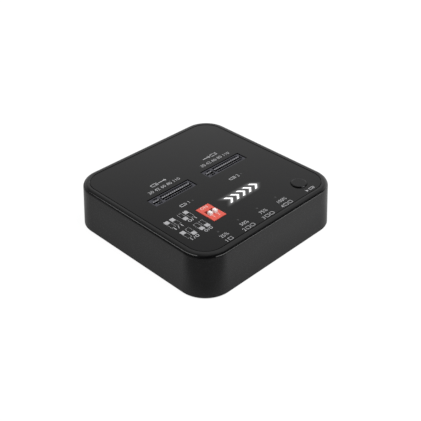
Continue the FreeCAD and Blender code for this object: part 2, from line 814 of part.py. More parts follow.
def make_socket_contacts(side):
    """Two staggered rows of bent leaves, one for each position that the key leaves free."""
    contacts = new_body(f"{side}_socket_contacts", f"{side}_x", "socket_y", "board_top")
    half = "contact_thick / 2"
    leaf = [("leaf_tail_y", "0"), ("leaf_tail_y", "contact_thick"),
            (f"leaf_foot_y + {half}", "contact_thick"), (f"leaf_bump_y + {half}", "leaf_bump_z"),
            ("leaf_tip_y", "leaf_tip_z"), (f"leaf_bump_y - {half}", "leaf_bump_z"),
            (f"leaf_foot_y - {half}", "0")]
    for number, (row, pin, count) in enumerate(contact_runs(), start=1):
        sketch = new_sketch(contacts, f"leaf_{number}_profile", "YZ_Plane",
                            out=f"{pin_x(pin)} - contact_width / 2")
        polygon(sketch, [(f"{row} * ({y})", z) for y, z in leaf])
        first = pad(contacts, sketch, "contact_width", f"leaf_{number}")
        along_x(contacts, [first], "contact_pitch", count, f"run_{number}")
    return contacts


def make_socket_clips(side):
    """Bent metal tabs that solder the ends of a socket to the board."""
    clips = new_body(f"{side}_socket_clips", f"{side}_x", "socket_y", "board_top")
    sketch = rear_sketch(clips, "tab_profile", "0")
    near = "socket_length / 2"
    far = f"{near} + tab_reach"
    polygon(sketch, [(near, "0"), (far, "0"), (far, "tab_thick"),
                     (f"{near} + tab_thick", "tab_thick"), (f"{near} + tab_thick", "tab_height"),
                     (near, "tab_height")])
    tab = pad(clips, sketch, "tab_width", "tab", both_ways=True)
    mirror_x(clips, [tab])
    return clips


# ---------------------------------------------------------------- mode switch

def make_dip_cover():
    """Cover of the mode switch, with a slot and a wider cavity for each slider."""
    cover = new_body("dip_switch_cover", "dip_x", "dip_y", "control_top")
    sketch = new_sketch(cover, "cover_outline", out="dip_base")
    rectangle(sketch, "dip_width", "dip_depth")
    pad(cover, sketch, "dip_height - dip_base", "cover")
    for side, sign in (("left", "-1"), ("right", "1")):
        sketch = new_sketch(cover, f"{side}_cavity_outline", out="dip_base",
                            right=f"{sign} * dip_pitch / 2")
        rectangle(sketch, "dip_cavity_width", "dip_cavity_length")
        pocket(cover, sketch, "dip_height - dip_base - dip_wall", f"{side}_cavity", reverse=True)
        sketch = new_sketch(cover, f"{side}_slot_outline", out="dip_height",
                            right=f"{sign} * dip_pitch / 2")
        rectangle(sketch, "dip_slot_width", "dip_slot_length")
        pocket(cover, sketch, "dip_wall", f"{side}_slot")
    return cover


def make_dip_leads():
    """Bent leads of the mode switch, two at either end, soldered to the control board."""
    leads = new_body("dip_switch_leads", "dip_x", "dip_y", "control_top")
    wall, bend = "dip_depth / 2", "dip_depth / 2 + lead_thick"
    profile = [(wall, "lead_exit"), (wall, "lead_exit - lead_thick"),
               (bend, "lead_exit - lead_thick"), (bend, "0"), (f"{wall} + lead_reach", "0"),
               (f"{wall} + lead_reach", "lead_thick"), (f"{bend} + lead_thick", "lead_thick"),
               (f"{bend} + lead_thick", "lead_exit")]
    for end, sign in (("rear", "1"), ("front", "-1")):
        sketch = new_sketch(leads, f"{end}_lead_profile", "YZ_Plane", out="-1 * dip_pitch / 2")
        polygon(sketch, [(f"{sign} * ({y})", z) for y, z in profile])
        lead = pad(leads, sketch, "lead_width", f"{end}_lead", both_ways=True)
        along_x(leads, [lead], "dip_pitch", 2, f"{end}_leads")
    return leads


def make_dip_slider(number, sign):
    """Slider of the mode switch: a rounded knob on the foot that keeps it under the cover."""
    slider = new_body(f"dip_slider_{number}", f"dip_x + {sign} * dip_pitch / 2", "slider_rest",
                      "control_top")
    sketch = new_sketch(slider, "foot_outline", out="slider_seat - slider_foot_height")
    rectangle(sketch, "slider_foot_width", "slider_foot_length")
    pad(slider, sketch, "slider_foot_height", "foot")
    sketch = new_sketch(slider, "knob_outline", out="slider_seat")
    rectangle(sketch, "slider_width", "slider_length")
    knob = pad(slider, sketch, "dip_wall + slider_gap + slider_rise", "knob")
    dress(slider, "Fillet", knob, "slider_round", at_height("dip_height + slider_rise"),
          "knob_edge")
    return slider


def make_dip_switch():
    """Two-way mode switch: cover, base, leads and two sliders."""
    base = block("dip_switch_base", "dip_x", "dip_y", "control_top", "dip_width", "dip_depth",
                 "dip_base")
    return [make_dip_cover(), base, make_dip_leads(), make_dip_slider(1, "-1"),
            make_dip_slider(2, "1")]


# ---------------------------------------------------------------- start button

def make_start_button():
    """Turned cap held under the roof by its flange, over a low key switch and its plunger."""
    button = new_body("start_button", "button_x", "button_y")
    sketch = rear_sketch(button, "cap_profile", "0")
    polygon(sketch, [("0", "flange_under"), ("button_flange", "flange_under"),
                     ("button_flange", "flange_top"),
                     ("button_radius", "flange_top"),
                     ("button_radius", "button_top - button_bevel"),
                     ("button_radius - button_knee", "button_top - button_knee"),
                     ("button_radius - button_bevel", "button_top"), ("0", "button_top")])
    turn(button, sketch, "cap")

    plunger = new_body("start_switch_plunger", "button_x", "button_y")
    sketch = new_sketch(plunger, "plunger_outline", out="control_top + plunger_rest")
    circle(sketch, "plunger_radius")
    pad(plunger, sketch, "flange_under - control_top - plunger_rest", "plunger")

    switch = new_body("start_switch_body", "button_x", "button_y", "control_top")
    sketch = new_sketch(switch, "case_outline")
    rectangle(sketch, "key_switch_width", "key_switch_width")
    pad(switch, sketch, "key_switch_height", "case")
    sketch = new_sketch(switch, "well_outline", out="key_switch_height")
    rectangle(sketch, "2 * (plunger_radius + plunger_gap)", "2 * (plunger_radius + plunger_gap)")
    pocket(switch, sketch, "key_switch_height", "well")
    return [button, plunger, switch]


# ---------------------------------------------------------------- lights

def make_guide(label, x, y, flange_size, rib_size, spacing="0", count=1):
    """Light guide, or a row of like ones: a flange under the roof and a rib up to the panel."""
    guide = new_body(label, z="roof_under")
    sketch = new_sketch(guide, "flange_outline", right=x, up=y, out="-1 * guide_flange_height")
    rectangle(sketch, *flange_size)
    flange = pad(guide, sketch, "guide_flange_height", "flange")
    sketch = new_sketch(guide, "rib_outline", right=x, up=y)
    rectangle(sketch, *rib_size)
    rib = pad(guide, sketch, "roof", "rib")
    if count > 1:
        along_x(guide, [flange, rib], spacing, count, "guides")
    return guide


def make_lights():
    """Light guides and the diffuser, which end under the panel, and the lamps below them."""
    run = "3 * progress_pitch"
    parts = [
        make_guide("progress_light_guide", "progress_x + 1.5 * progress_pitch", "progress_y",
                   (f"{run} + guide_flange", "guide_flange"), (f"{run} + guide_rib", "guide_rib")),
        make_guide("slot_light_guides", "slot_light_x", "slot_light_y",
                   ("guide_flange", "guide_flange"), ("guide_rib", "guide_rib"),
                   "slot_light_spacing", 2),
        make_guide("status_light_diffuser", "status_x", "status_y",
                   ("status_length + 2 * status_flange", "status_width + 2 * status_flange"),
                   ("status_length", "status_width"))]
    lamps = (("progress_lamps", "progress_x", "progress_y", "progress_pitch", 4),
             ("slot_lamps", "slot_light_x", "slot_light_y", "slot_light_spacing", 2),
             ("status_lamps", "status_x - status_lamp_spacing", "status_y",
              "status_lamp_spacing", 3))
    for label, x, y, spacing, count in lamps:
        body = new_body(label, z="control_top")
        sketch = new_sketch(body, "lamp_outline", right=x, up=y)
        rectangle(sketch, "lamp_length", "lamp_width")
        lamp = pad(body, sketch, "lamp_height", "lamp")
        along_x(body, [lamp], spacing, count, "lamps")
        parts.append(body)
    return parts


# ---------------------------------------------------------------- ports at the back

def make_usb_port():
    """USB-C receptacle: drawn metal shell and the tongue inside it."""
    shell = new_body("usb_port_shell", "usb_x", z="usb_z")
    corner = "(usb_height - usb_flat) / 2"
    sketch = rear_sketch(shell, "shell_outline", "mouth_y")
    rounded_rectangle(sketch, "usb_width", "usb_height", corner)
    pad(shell, sketch, "usb_depth", "shell")
    sketch = rear_sketch(shell, "mouth_outline", "mouth_y")
    rounded_rectangle(sketch, "usb_width - 2 * usb_skin", "usb_height - 2 * usb_skin",
                      f"{corner} - usb_skin")
    pocket(shell, sketch, "usb_depth - usb_skin", "mouth", reverse=True)

    tongue = new_body("usb_port_tongue", "usb_x", z="usb_z")
    sketch = rear_sketch(tongue, "tongue_outline", "mouth_y - usb_depth + usb_skin")
    rectangle(sketch, "usb_tongue_width", "usb_tongue_thick")
    pad(tongue, sketch, "usb_tongue_length", "tongue", reverse=True)
    return [shell, tongue]


def make_power_jack():
    """Round power socket: moulded body with a nose through the wall, and its centre pin."""
    body = new_body("power_jack_body", "jack_x", z="jack_z")
    sketch = rear_sketch(body, "block_outline", "jack_face")
    rectangle(sketch, "jack_width", "jack_width")
    pad(body, sketch, "jack_length", "block")
    sketch = new_sketch(body, "ear_outline", up="jack_face - jack_length / 2",
                        out="board_top - jack_z")
    rectangle(sketch, "jack_width + 2 * jack_ear", "jack_length - 2 * jack_ear_inset")
    pad(body, sketch, "jack_ear", "ears")
    sketch = rear_sketch(body, "nose_outline", "mouth_y")
    circle(sketch, "jack_nose")
    pad(body, sketch, "mouth_y - jack_face", "nose")
    sketch = rear_sketch(body, "bore_outline", "mouth_y")
    circle(sketch, "jack_bore")
    pocket(body, sketch, "jack_bore_depth", "bore", reverse=True)

    pin = new_body("power_jack_pin", "jack_x", z="jack_z")
    sketch = rear_sketch(pin, "pin_outline", "mouth_y - jack_bore_depth")
    circle(sketch, "jack_pin")
    pad(pin, sketch, "jack_pin_length", "rod", reverse=True)
    return [body, pin]


def make_power_switch():
    """Slide switch at the rear wall: hollow case and a knob on a captive foot."""
    case = new_body("power_switch_body", "power_x", z="power_z")
    sketch = rear_sketch(case, "case_outline", "power_face")
    rectangle(sketch, "power_width", "power_height")
    pad(case, sketch, "power_depth", "case")
    sketch = rear_sketch(case, "slot_outline", "power_face")
    rectangle(sketch, "power_travel + power_knob_width + 2 * power_gap",
              "power_knob_height + 2 * power_gap")
    pocket(case, sketch, "power_front", "slot", reverse=True)
    sketch = rear_sketch(case, "well_outline", "power_face - power_front")
    rectangle(sketch, "power_travel + power_foot_width + 2 * power_gap",
              "power_foot_height + 2 * power_gap")
    pocket(case, sketch, "power_foot_thick + 4 * power_gap", "well", reverse=True)

    slider = new_body("power_switch_slider", "power_rest", z="power_z")
    sketch = rear_sketch(slider, "foot_outline", "power_seat")
    rectangle(sketch, "power_foot_width", "power_foot_height")
    pad(slider, sketch, "power_foot_thick", "foot")
    sketch = rear_sketch(slider, "knob_outline", "power_seat")
    rectangle(sketch, "power_knob_width", "power_knob_height")
    knob = pad(slider, sketch, "power_end - power_seat", "knob", reverse=True)
    end = value("power_end")
    dress(slider, "Chamfer", knob, "power_knob_bevel",
          lambda point: abs(point.y - end) < SLIGHT, "knob_edge")
    return [case, slider]


# ---------------------------------------------------------------- components

def make_components():
    """Chips and passive components of the main board, each standing on it."""
    singles = (("controller_chip", "0", "-12.5", "10", "10", "0.9"),
               ("flash_chip", "-14", "-22", "5.2", "6", "1.5"),
               ("clock_crystal", "9.5", "-13", "3.2", "2.5", "0.8"))
    parts = [block(label, x, y, "board_top", width, depth, height)
             for label, x, y, width, depth, height in singles]
    rows = (("bridge_chips", "source_x", "15.5", "target_x - source_x", 2, "9", "9", "0.9"),
            ("power_inductors", "6.5", "28", "6", 2, "4.4", "4.4", "2.4"),
            ("board_capacitors", "-14", "22.5", "3.2", 8, "1.6", "3.2", "1.6"))
    for label, x, y, spacing, count, width, depth, height in rows:
        body = new_body(label, z="board_top")
        sketch = new_sketch(body, "component_outline", right=x, up=y)
        rectangle(sketch, width, depth)
        first = pad(body, sketch, height, "component")
        along_x(body, [first], spacing, count, "components")
        parts.append(body)
    return parts


# ---------------------------------------------------------------- build, check and write

def check(parts):
    """Stop on any failed object or bad shape."""
    for thing in document.Objects:
        if "Invalid" in thing.State or "Error" in thing.State:
            raise RuntimeError(f"{thing.Label} failed: {thing.State}")
    for part in parts:
        if part.Shape.isNull() or not part.Shape.isValid() or not part.Shape.Solids:
            raise RuntimeError(f"{part.Label} has no sound shape")


def main():
    """Make every sub-part, check the document and write one STEP file for each."""
    parts = [make_housing_shell(), make_top_panel(), make_base_plate(), make_rubber_feet(),
             make_base_screws(), make_main_board(), make_control_board(), *make_link()]
    for side in ("source", "target"):
        parts += [make_socket_body(side), make_socket_contacts(side), make_socket_clips(side)]
    parts += make_dip_switch() + make_start_button() + make_lights()
    parts += make_usb_port() + make_power_jack() + make_power_switch() + make_components()
    document.recompute()
    check(parts)
    os.makedirs("parts", exist_ok=True)
    for part in parts:
        part.Shape.exportStep(f"parts/{part.Label}.step")
        box = part.Shape.BoundBox
        print(f"{part.Label:24s} solids {len(part.Shape.Solids):3d}  volume {part.Shape.Volume:9.2f}"
              f"  z {box.ZMin:6.2f} to {box.ZMax:6.2f}")


main()
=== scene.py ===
"""Finishes, printed marks and studio of the drive duplicator.

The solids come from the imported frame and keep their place. This file gives every
part its finish, adds the printed and lit marks of the top panel, the ribs and
contact noses of the sockets and the marks on the mode switch, and sets up the studio.
"""
import json
import logging
import math
from dataclasses import dataclass, field
from enum import Enum

import bmesh
import bpy
from bpy.types import Material, Mesh, Node, NodeTree, Object
from bpy.types import NodeSocket as Socket
from mathutils import Matrix, Vector


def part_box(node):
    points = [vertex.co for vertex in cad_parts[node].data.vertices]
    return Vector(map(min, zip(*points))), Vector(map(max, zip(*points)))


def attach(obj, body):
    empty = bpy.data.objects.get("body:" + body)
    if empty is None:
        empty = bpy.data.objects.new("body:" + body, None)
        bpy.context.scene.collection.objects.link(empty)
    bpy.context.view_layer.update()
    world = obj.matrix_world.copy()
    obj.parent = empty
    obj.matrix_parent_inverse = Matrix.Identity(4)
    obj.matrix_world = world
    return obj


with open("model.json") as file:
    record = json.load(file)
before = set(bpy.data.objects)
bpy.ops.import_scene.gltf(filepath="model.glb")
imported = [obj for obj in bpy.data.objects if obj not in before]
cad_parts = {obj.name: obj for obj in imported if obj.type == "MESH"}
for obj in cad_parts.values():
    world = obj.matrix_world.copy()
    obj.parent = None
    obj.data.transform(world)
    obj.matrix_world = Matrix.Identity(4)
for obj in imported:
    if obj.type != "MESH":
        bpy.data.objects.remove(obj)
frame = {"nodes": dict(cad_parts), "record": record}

MM = 0.001
LOG = logging.getLogger("duplicator")
CHASSIS = "chassis"
DIAGONAL = math.sqrt(0.5)

Point = tuple[float, float]
Colour = tuple[float, float, float]
Layer = list[bmesh.types.BMVert]

WHITE: Colour = (1.0, 1.0, 1.0)
BLACK: Colour = (0.0, 0.0, 0.0)
GLOSS_BLACK: Colour = (0.0035, 0.0035, 0.0038)

# Values that a noise pattern mostly keeps within, and a narrower band of them
NOISE_SPAN: Point = (0.3, 0.7)
NOISE_CORE: Point = (0.35, 0.65)


class MarkSlot(Enum):
    """Material slots of the record, one for each kind of added piece."""

    PRINT = "slider_white"
    LIT = "lamp"
    DOT = "guide"
    RIB = "socket"
    NOSE = "tinned"


# ---- node trees


@dataclass
class NodeBench:
    """A node tree under construction.

    Args:
        tree: The tree that the nodes go into.
    """

    tree: NodeTree

    def add(self, kind: str, values: dict[str | int, object] | None = None,
            **settings: object) -> Node:
        """Adds a node.

        Args:
            kind: Type name of the node.
            values: Input values or sockets to link, by input name or number.
            settings: Properties set on the node itself.

        Returns:
            The new node.
        """
        node = self.tree.nodes.new(kind)
        for name, setting in settings.items():
            setattr(node, name, setting)
        for key, value in (values or {}).items():
            self.feed(node.inputs[key], value)
        return node

    def feed(self, target: Socket, value: object) -> None:
        """Links a socket, or sets a plain value.

        Args:
            target: The input that is fed.
            value: A socket to link, or a plain value.
        """
        if isinstance(value, Socket):
            self.tree.links.new(value, target)
        else:
            target.default_value = value

    def math(self, operation: str, *values: object, clamp: bool = False) -> Socket:
        """Adds a Math node and returns its output."""
        node = self.add("ShaderNodeMath", dict(enumerate(values)), operation=operation, use_clamp=clamp)
        return node.outputs[0]

    def blend(self, factor: object, first: object, second: object) -> Socket:
        """Blends two numbers by a factor."""
        span = self.math("SUBTRACT", second, first)
        return self.math("MULTIPLY_ADD", span, factor, first)

    def ranged(self, value: Socket, low: float, high: float, out_low: float, out_high: float,
               smooth: bool = False) -> Socket:
        """Maps a range of numbers to another, clamped.

        Args:
            value: The number to map.
            low: Start of the range that comes in.
            high: End of the range that comes in.
            out_low: Result at the start.
            out_high: Result at the end.
            smooth: Eases both ends of the range.

        Returns:
            The mapped number's socket.
        """
        kind = "SMOOTHSTEP" if smooth else "LINEAR"
        values = {"Value": value, "From Min": low, "From Max": high, "To Min": out_low, "To Max": out_high}
        return self.add("ShaderNodeMapRange", values, interpolation_type=kind).outputs["Result"]

    def noise(self, place: Socket, size: float, detail: float = 2.0,
              stretch: Colour = (1.0, 1.0, 1.0)) -> Socket:
        """Adds a noise pattern.

        Args:
            place: Coordinates that the pattern sits in, in metres.
            size: Size of one spot in metres.
            detail: Number of finer layers.
            stretch: Scale of the coordinates along each axis.

        Returns:
            The noise value's socket, from 0 to 1.
        """
        mapped = self.add("ShaderNodeMapping", {"Vector": place, "Scale": stretch}).outputs["Vector"]
        values = {"Vector": mapped, "Scale": 1.0 / size, "Detail": detail}
        return self.add("ShaderNodeTexNoise", values).outputs[0]

    def mix(self, factor: object, first: object, second: object) -> Socket:
        """Blends two colours by a factor.

        Args:
            factor: Share of the second colour.
            first: The first colour or its socket.
            second: The second colour or its socket.

        Returns:
            The blended colour's socket.
        """
        node = self.add("ShaderNodeMix", {0: factor}, data_type="RGBA")
        self.feed(node.inputs[6], first)
        self.feed(node.inputs[7], second)
        return node.outputs[2]

    def place(self) -> Socket:
        """Returns the place on the object's own axes, in metres."""
        return self.add("ShaderNodeTexCoord").outputs["Object"]

    def parts(self, vector: Socket) -> list[Socket]:
        """Returns the X, Y and Z of a vector."""
        return list(self.add("ShaderNodeSeparateXYZ", {0: vector}).outputs)

    def relief(self, height: Socket, depth: float) -> Socket:
        """Returns the normal of a relief with the given depth in metres."""
        values = {"Height": height, "Distance": depth, "Strength": 1.0}
        return self.add("ShaderNodeBump", values).outputs["Normal"]

    def beyond(self, value: Socket, limit: float) -> Socket:
        """Returns how far a number lies above a limit, and 0 below it."""
        return self.math("MAXIMUM", self.math("SUBTRACT", value, limit), 0.0)

    def distance(self, *sides: Socket) -> Socket:
        """Returns the distance that two sides at right angles span."""
        squares = [self.math("MULTIPLY", side, side) for side in sides]
        return self.math("SQRT", self.math("ADD", *squares))


def opaque(colour: Colour) -> tuple[float, float, float, float]:
    """Returns the colour with full alpha."""
    return (*colour, 1.0)


def new_material(name: str) -> tuple[Material, NodeBench, Node]:
    """Makes an empty node material.

    Args:
        name: Name of the material.

    Returns:
        The material, its bench and its output node.
    """
    material = bpy.data.materials.new(name)
    material.use_nodes = True
    material.node_tree.nodes.clear()
    bench = NodeBench(material.node_tree)
    return material, bench, bench.add("ShaderNodeOutputMaterial")


# ---- finishes


class Finish:
    """A finish that can be built as a material."""

    def build(self, name: str) -> Material:
        """Makes the finish's material.

        Args:
            name: Name of the material.

        Returns:
            The new material.
        """
        material, bench, output = new_material(name)
        bench.feed(output.inputs["Surface"], self.shader(bench).outputs[0])
        return material

    def shader(self, bench: NodeBench) -> Node:
        """Adds the finish's shader to a tree.

        Args:
            bench: The material's bench.

        Returns:
            The Principled node.
        """
        raise NotImplementedError


@dataclass(frozen=True)
class Plastic(Finish):
    """Moulded plastic with a fine grain, faint handling marks, paler edges and, where set, painted shade
    deep in recesses.

    Args:
        colour: Linear base colour.
        roughness: Mean roughness.
        grain_size: Size of the surface grain in metres.
        grain_height: Height of the grain in metres.
        handling: How far smudges change the roughness.
        edge_gain: How much paler rubbed edges are.
        specular: Strength of the reflection, 0.5 for plain plastic.
        sheen: Weight of a dusty sheen.
        dark_levels: Heights in metres between which painted shade in a recess turns from dark to full
            colour.
    """

    colour: Colour
    roughness: float
    grain_size: float = 0.4 * MM
    grain_height: float = 0.002 * MM
    handling: float = 0.04
    edge_gain: float = 1.6
    specular: float = 0.5
    sheen: float = 0.0
    dark_levels: tuple[float, float] | None = None

    # Share of the colour left where the painted recess shade is darkest
    recess_share = 0.1
    smudge_size = 14.0 * MM
    smudge_share = 0.86
    hairline_size = 0.9 * MM
    hairline_stretch = (1.0, 0.06, 1.0)
    hairline_share = 0.35
    least_roughness = 0.02
    edge_reach = 0.12 * MM
    edge_lift = 0.004
    edge_ramp = (0.98, 0.8, 0.0, 1.0)

    def shader(self, bench: NodeBench) -> Node:
        """Adds the plastic's shader to a tree.

        Args:
            bench: The material's bench.

        Returns:
            The Principled node.
        """
        place = bench.place()
        smudge = bench.noise(place, self.smudge_size, detail=3.0)
        hairline = bench.noise(place, self.hairline_size, stretch=self.hairline_stretch)
        grain = bench.noise(place, self.grain_size, detail=1.0)
        edge = self.rubbed_edge(bench)
        pale = tuple(min(1.0, channel * self.edge_gain + self.edge_lift) for channel in self.colour)
        deep = tuple(channel * self.smudge_share for channel in self.colour)
        ground = bench.mix(smudge, opaque(deep), opaque(self.colour))
        colour = bench.mix(edge, ground, opaque(pale))
        marks = bench.blend(self.hairline_share, smudge, hairline)
        low = max(self.least_roughness, self.roughness - self.handling)
        rough = bench.ranged(marks, *NOISE_SPAN, low, self.roughness + self.handling)
        # Painted shade: below the given heights the colour darkens towards black, standing in for shade deep
        # in a recess
        if self.dark_levels:
            height = bench.parts(place)[2]
            share = bench.ranged(height, *self.dark_levels, self.recess_share, 1.0)
            colour = bench.mix(share, opaque(BLACK), colour)
        values = {"Base Color": colour, "Roughness": rough, "Specular IOR Level": self.specular,
                  "Sheen Weight": self.sheen, "Normal": bench.relief(grain, self.grain_height)}
        return bench.add("ShaderNodeBsdfPrincipled", values)

    def rubbed_edge(self, bench: NodeBench) -> Socket:
        """Makes a mask of the part's own sharp edges.

        Args:
            bench: The material's bench.

        Returns:
            The mask's socket, 1 on an edge.
        """
        rounded = bench.add("ShaderNodeBevel", {"Radius": self.edge_reach}, samples=4).outputs[0]
        flat = bench.add("ShaderNodeNewGeometry").outputs["Normal"]
        values = {0: rounded, 1: flat}
        facing = bench.add("ShaderNodeVectorMath", values, operation="DOT_PRODUCT").outputs["Value"]
        return bench.ranged(facing, *self.edge_ramp)


@dataclass(frozen=True)
class Metal(Finish):
    """Plated metal with fine drawing lines and dull patches.

    Args:
        colour: Linear reflection colour.
        roughness: Mean roughness.
        line_size: Width of the drawing lines in metres.
        line_height: Height of the drawing lines in metres.
        stretch: Scale of the coordinates, small along the lines.
        metallic: Share of the metallic reflection, below 1 for a dull plating.
    """

    colour: Colour
    roughness: float
    line_size: float = 0.15 * MM
    line_height: float = 0.003 * MM
    stretch: Colour = (0.08, 1.0, 1.0)
    metallic: float = 1.0

    tarnish_size = 3.0 * MM
    tarnish_share = 0.6
    tarnish_darkening = 0.72
    roughness_shares = (0.75, 1.35)

    def shader(self, bench: NodeBench) -> Node:
        """Adds the metal's shader to a tree.

        Args:
            bench: The material's bench.

        Returns:
            The Principled node.
        """
        place = bench.place()
        lines = bench.noise(place, self.line_size, detail=3.0, stretch=self.stretch)
        tarnish = bench.noise(place, self.tarnish_size, detail=3.0)
        dull = tuple(channel * self.tarnish_darkening for channel in self.colour)
        patches = bench.ranged(tarnish, *NOISE_CORE, 0.0, self.tarnish_share)
        colour = bench.mix(patches, opaque(self.colour), opaque(dull))
        levels = (self.roughness * share for share in self.roughness_shares)
        rough = bench.ranged(tarnish, *NOISE_SPAN, *levels)
        values = {"Base Color": colour, "Metallic": self.metallic, "Roughness": rough,
                  "Normal": bench.relief(lines, self.line_height)}
        return bench.add("ShaderNodeBsdfPrincipled", values)


@dataclass(frozen=True)
class ArrowRow:
    """Row of lit arrows with arms at 45 degrees, in millimetres.

    Args:
        left: Where the first arrow's tail starts.
        middle: Height of the row's middle line along Y.
        half: Half of the arrows' height.
        stroke: Width of an arm, measured along X.
        pitch: Distance between arrows.
        count: Number of arrows.
    """

    left: float = -4.35
    middle: float = -16.5
    half: float = 2.05
    stroke: float = 1.1
    pitch: float = 3.55
    count: int = 5

    def outline(self) -> list[Point]:
        """Draws the first arrow, anticlockwise.

        Returns:
            The outline's points.
        """
        low, high = self.middle - self.half, self.middle + self.half
        neck, tip = self.left + self.stroke, self.left + self.half
        return [(self.left, low), (neck, low), (tip + self.stroke, self.middle), (neck, high),
                (self.left, high), (tip, self.middle)]


@dataclass(frozen=True)
class SmokedPanel(Plastic):
    """Black gloss panel with a painted glow round the lit arrows, emitted by the panel itself.

    Args:
        row: The lit arrows.
        reach: How far the painted glow spreads, in millimetres.
        strength: Brightness of the painted glow beside an arrow.
    """

    row: ArrowRow = ArrowRow()
    reach: float = 2.1
    strength: float = 0.17

    falloff = 2.5

    def shader(self, bench: NodeBench) -> Node:
        """Adds the panel's shader with its painted glow to a tree.

        Args:
            bench: The material's bench.

        Returns:
            The Principled node.
        """
        shader = super().shader(bench)
        # Painted glow: the panel emits light itself round the lit arrows
        bench.feed(shader.inputs["Emission Color"], opaque(WHITE))
        bench.feed(shader.inputs["Emission Strength"], self.glow(bench))
        return shader

    def glow(self, bench: NodeBench) -> Socket:
        """Makes the painted glow, which falls with the distance from the nearest arrow.

        Args:
            bench: The material's bench.

        Returns:
            The socket of the glow's strength.
        """
        row = self.row
        parts = bench.parts(bench.place())
        across = bench.math("MULTIPLY_ADD", parts[1], 1 / MM, -row.middle)
        height = bench.math("ABSOLUTE", across)
        along = bench.math("MULTIPLY_ADD", parts[0], 1 / MM, -row.left - row.half - row.stroke / 2)
        slanted = bench.math("ADD", along, height)
        nearest = bench.math("ROUND", bench.math("DIVIDE", slanted, row.pitch))
        arrow = bench.math("MINIMUM", bench.math("MAXIMUM", nearest, 0.0), row.count - 1.0)
        offset = bench.math("ABSOLUTE", bench.math("MULTIPLY_ADD", arrow, -row.pitch, slanted))
        beside = bench.math("MULTIPLY", bench.beyond(offset, row.stroke / 2), DIAGONAL)
        distance = bench.distance(beside, bench.beyond(height, row.half))
        near = bench.ranged(distance, self.reach, 0.0, 0.0, 1.0)
        return bench.math("MULTIPLY", bench.math("POWER", near, self.falloff), self.strength)


@dataclass(frozen=True)
class Ink(Finish):
    """Printed ink, slightly uneven.

    Args:
        colour: Linear ink colour.
        thin: Share of the brightness left where the ink is thin.
    """

    colour: Colour
    thin: float = 0.8

    speck_size = 0.12 * MM
    speck_height = 0.004 * MM
    roughness_levels = (0.35, 0.55)

    def shader(self, bench: NodeBench) -> Node:
        """Adds the ink's shader to a tree.

        Args:
            bench: The material's bench.

        Returns:
            The Principled node.
        """
        specks = bench.noise(bench.place(), self.speck_size)
        weak = tuple(channel * self.thin for channel in self.colour)
        cover = bench.ranged(specks, *NOISE_CORE, 0.0, 1.0)
        values = {"Base Color": bench.mix(cover, opaque(weak), opaque(self.colour)),
                  "Roughness": bench.ranged(specks, *NOISE_SPAN, *self.roughness_levels),
                  "Normal": bench.relief(specks, self.speck_height)}
        return bench.add("ShaderNodeBsdfPrincipled", values)


@dataclass(frozen=True)
class LitWindow(Finish):
    """White translucent window lit from below.

    Args:
        strength: Emitted brightness.
        ripple: Share of the brightness that varies with the lamps below.
    """

    strength: float
    ripple: float = 0.15

    lamp_pitch = 4.0 * MM
    cover_colour = (0.8, 0.8, 0.8)
    cover_roughness = 0.4

    def shader(self, bench: NodeBench) -> Node:
        """Adds the window's shader to a tree.

        Args:
            bench: The material's bench.

        Returns:
            The Principled node.
        """
        waves = bench.noise(bench.place(), self.lamp_pitch, detail=1.0)
        low = self.strength * (1.0 - self.ripple)
        level = bench.ranged(waves, *NOISE_SPAN, low, self.strength)
        values = {"Base Color": opaque(self.cover_colour), "Roughness": self.cover_roughness,
                  "Emission Color": opaque(WHITE), "Emission Strength": level}
        return bench.add("ShaderNodeBsdfPrincipled", values)


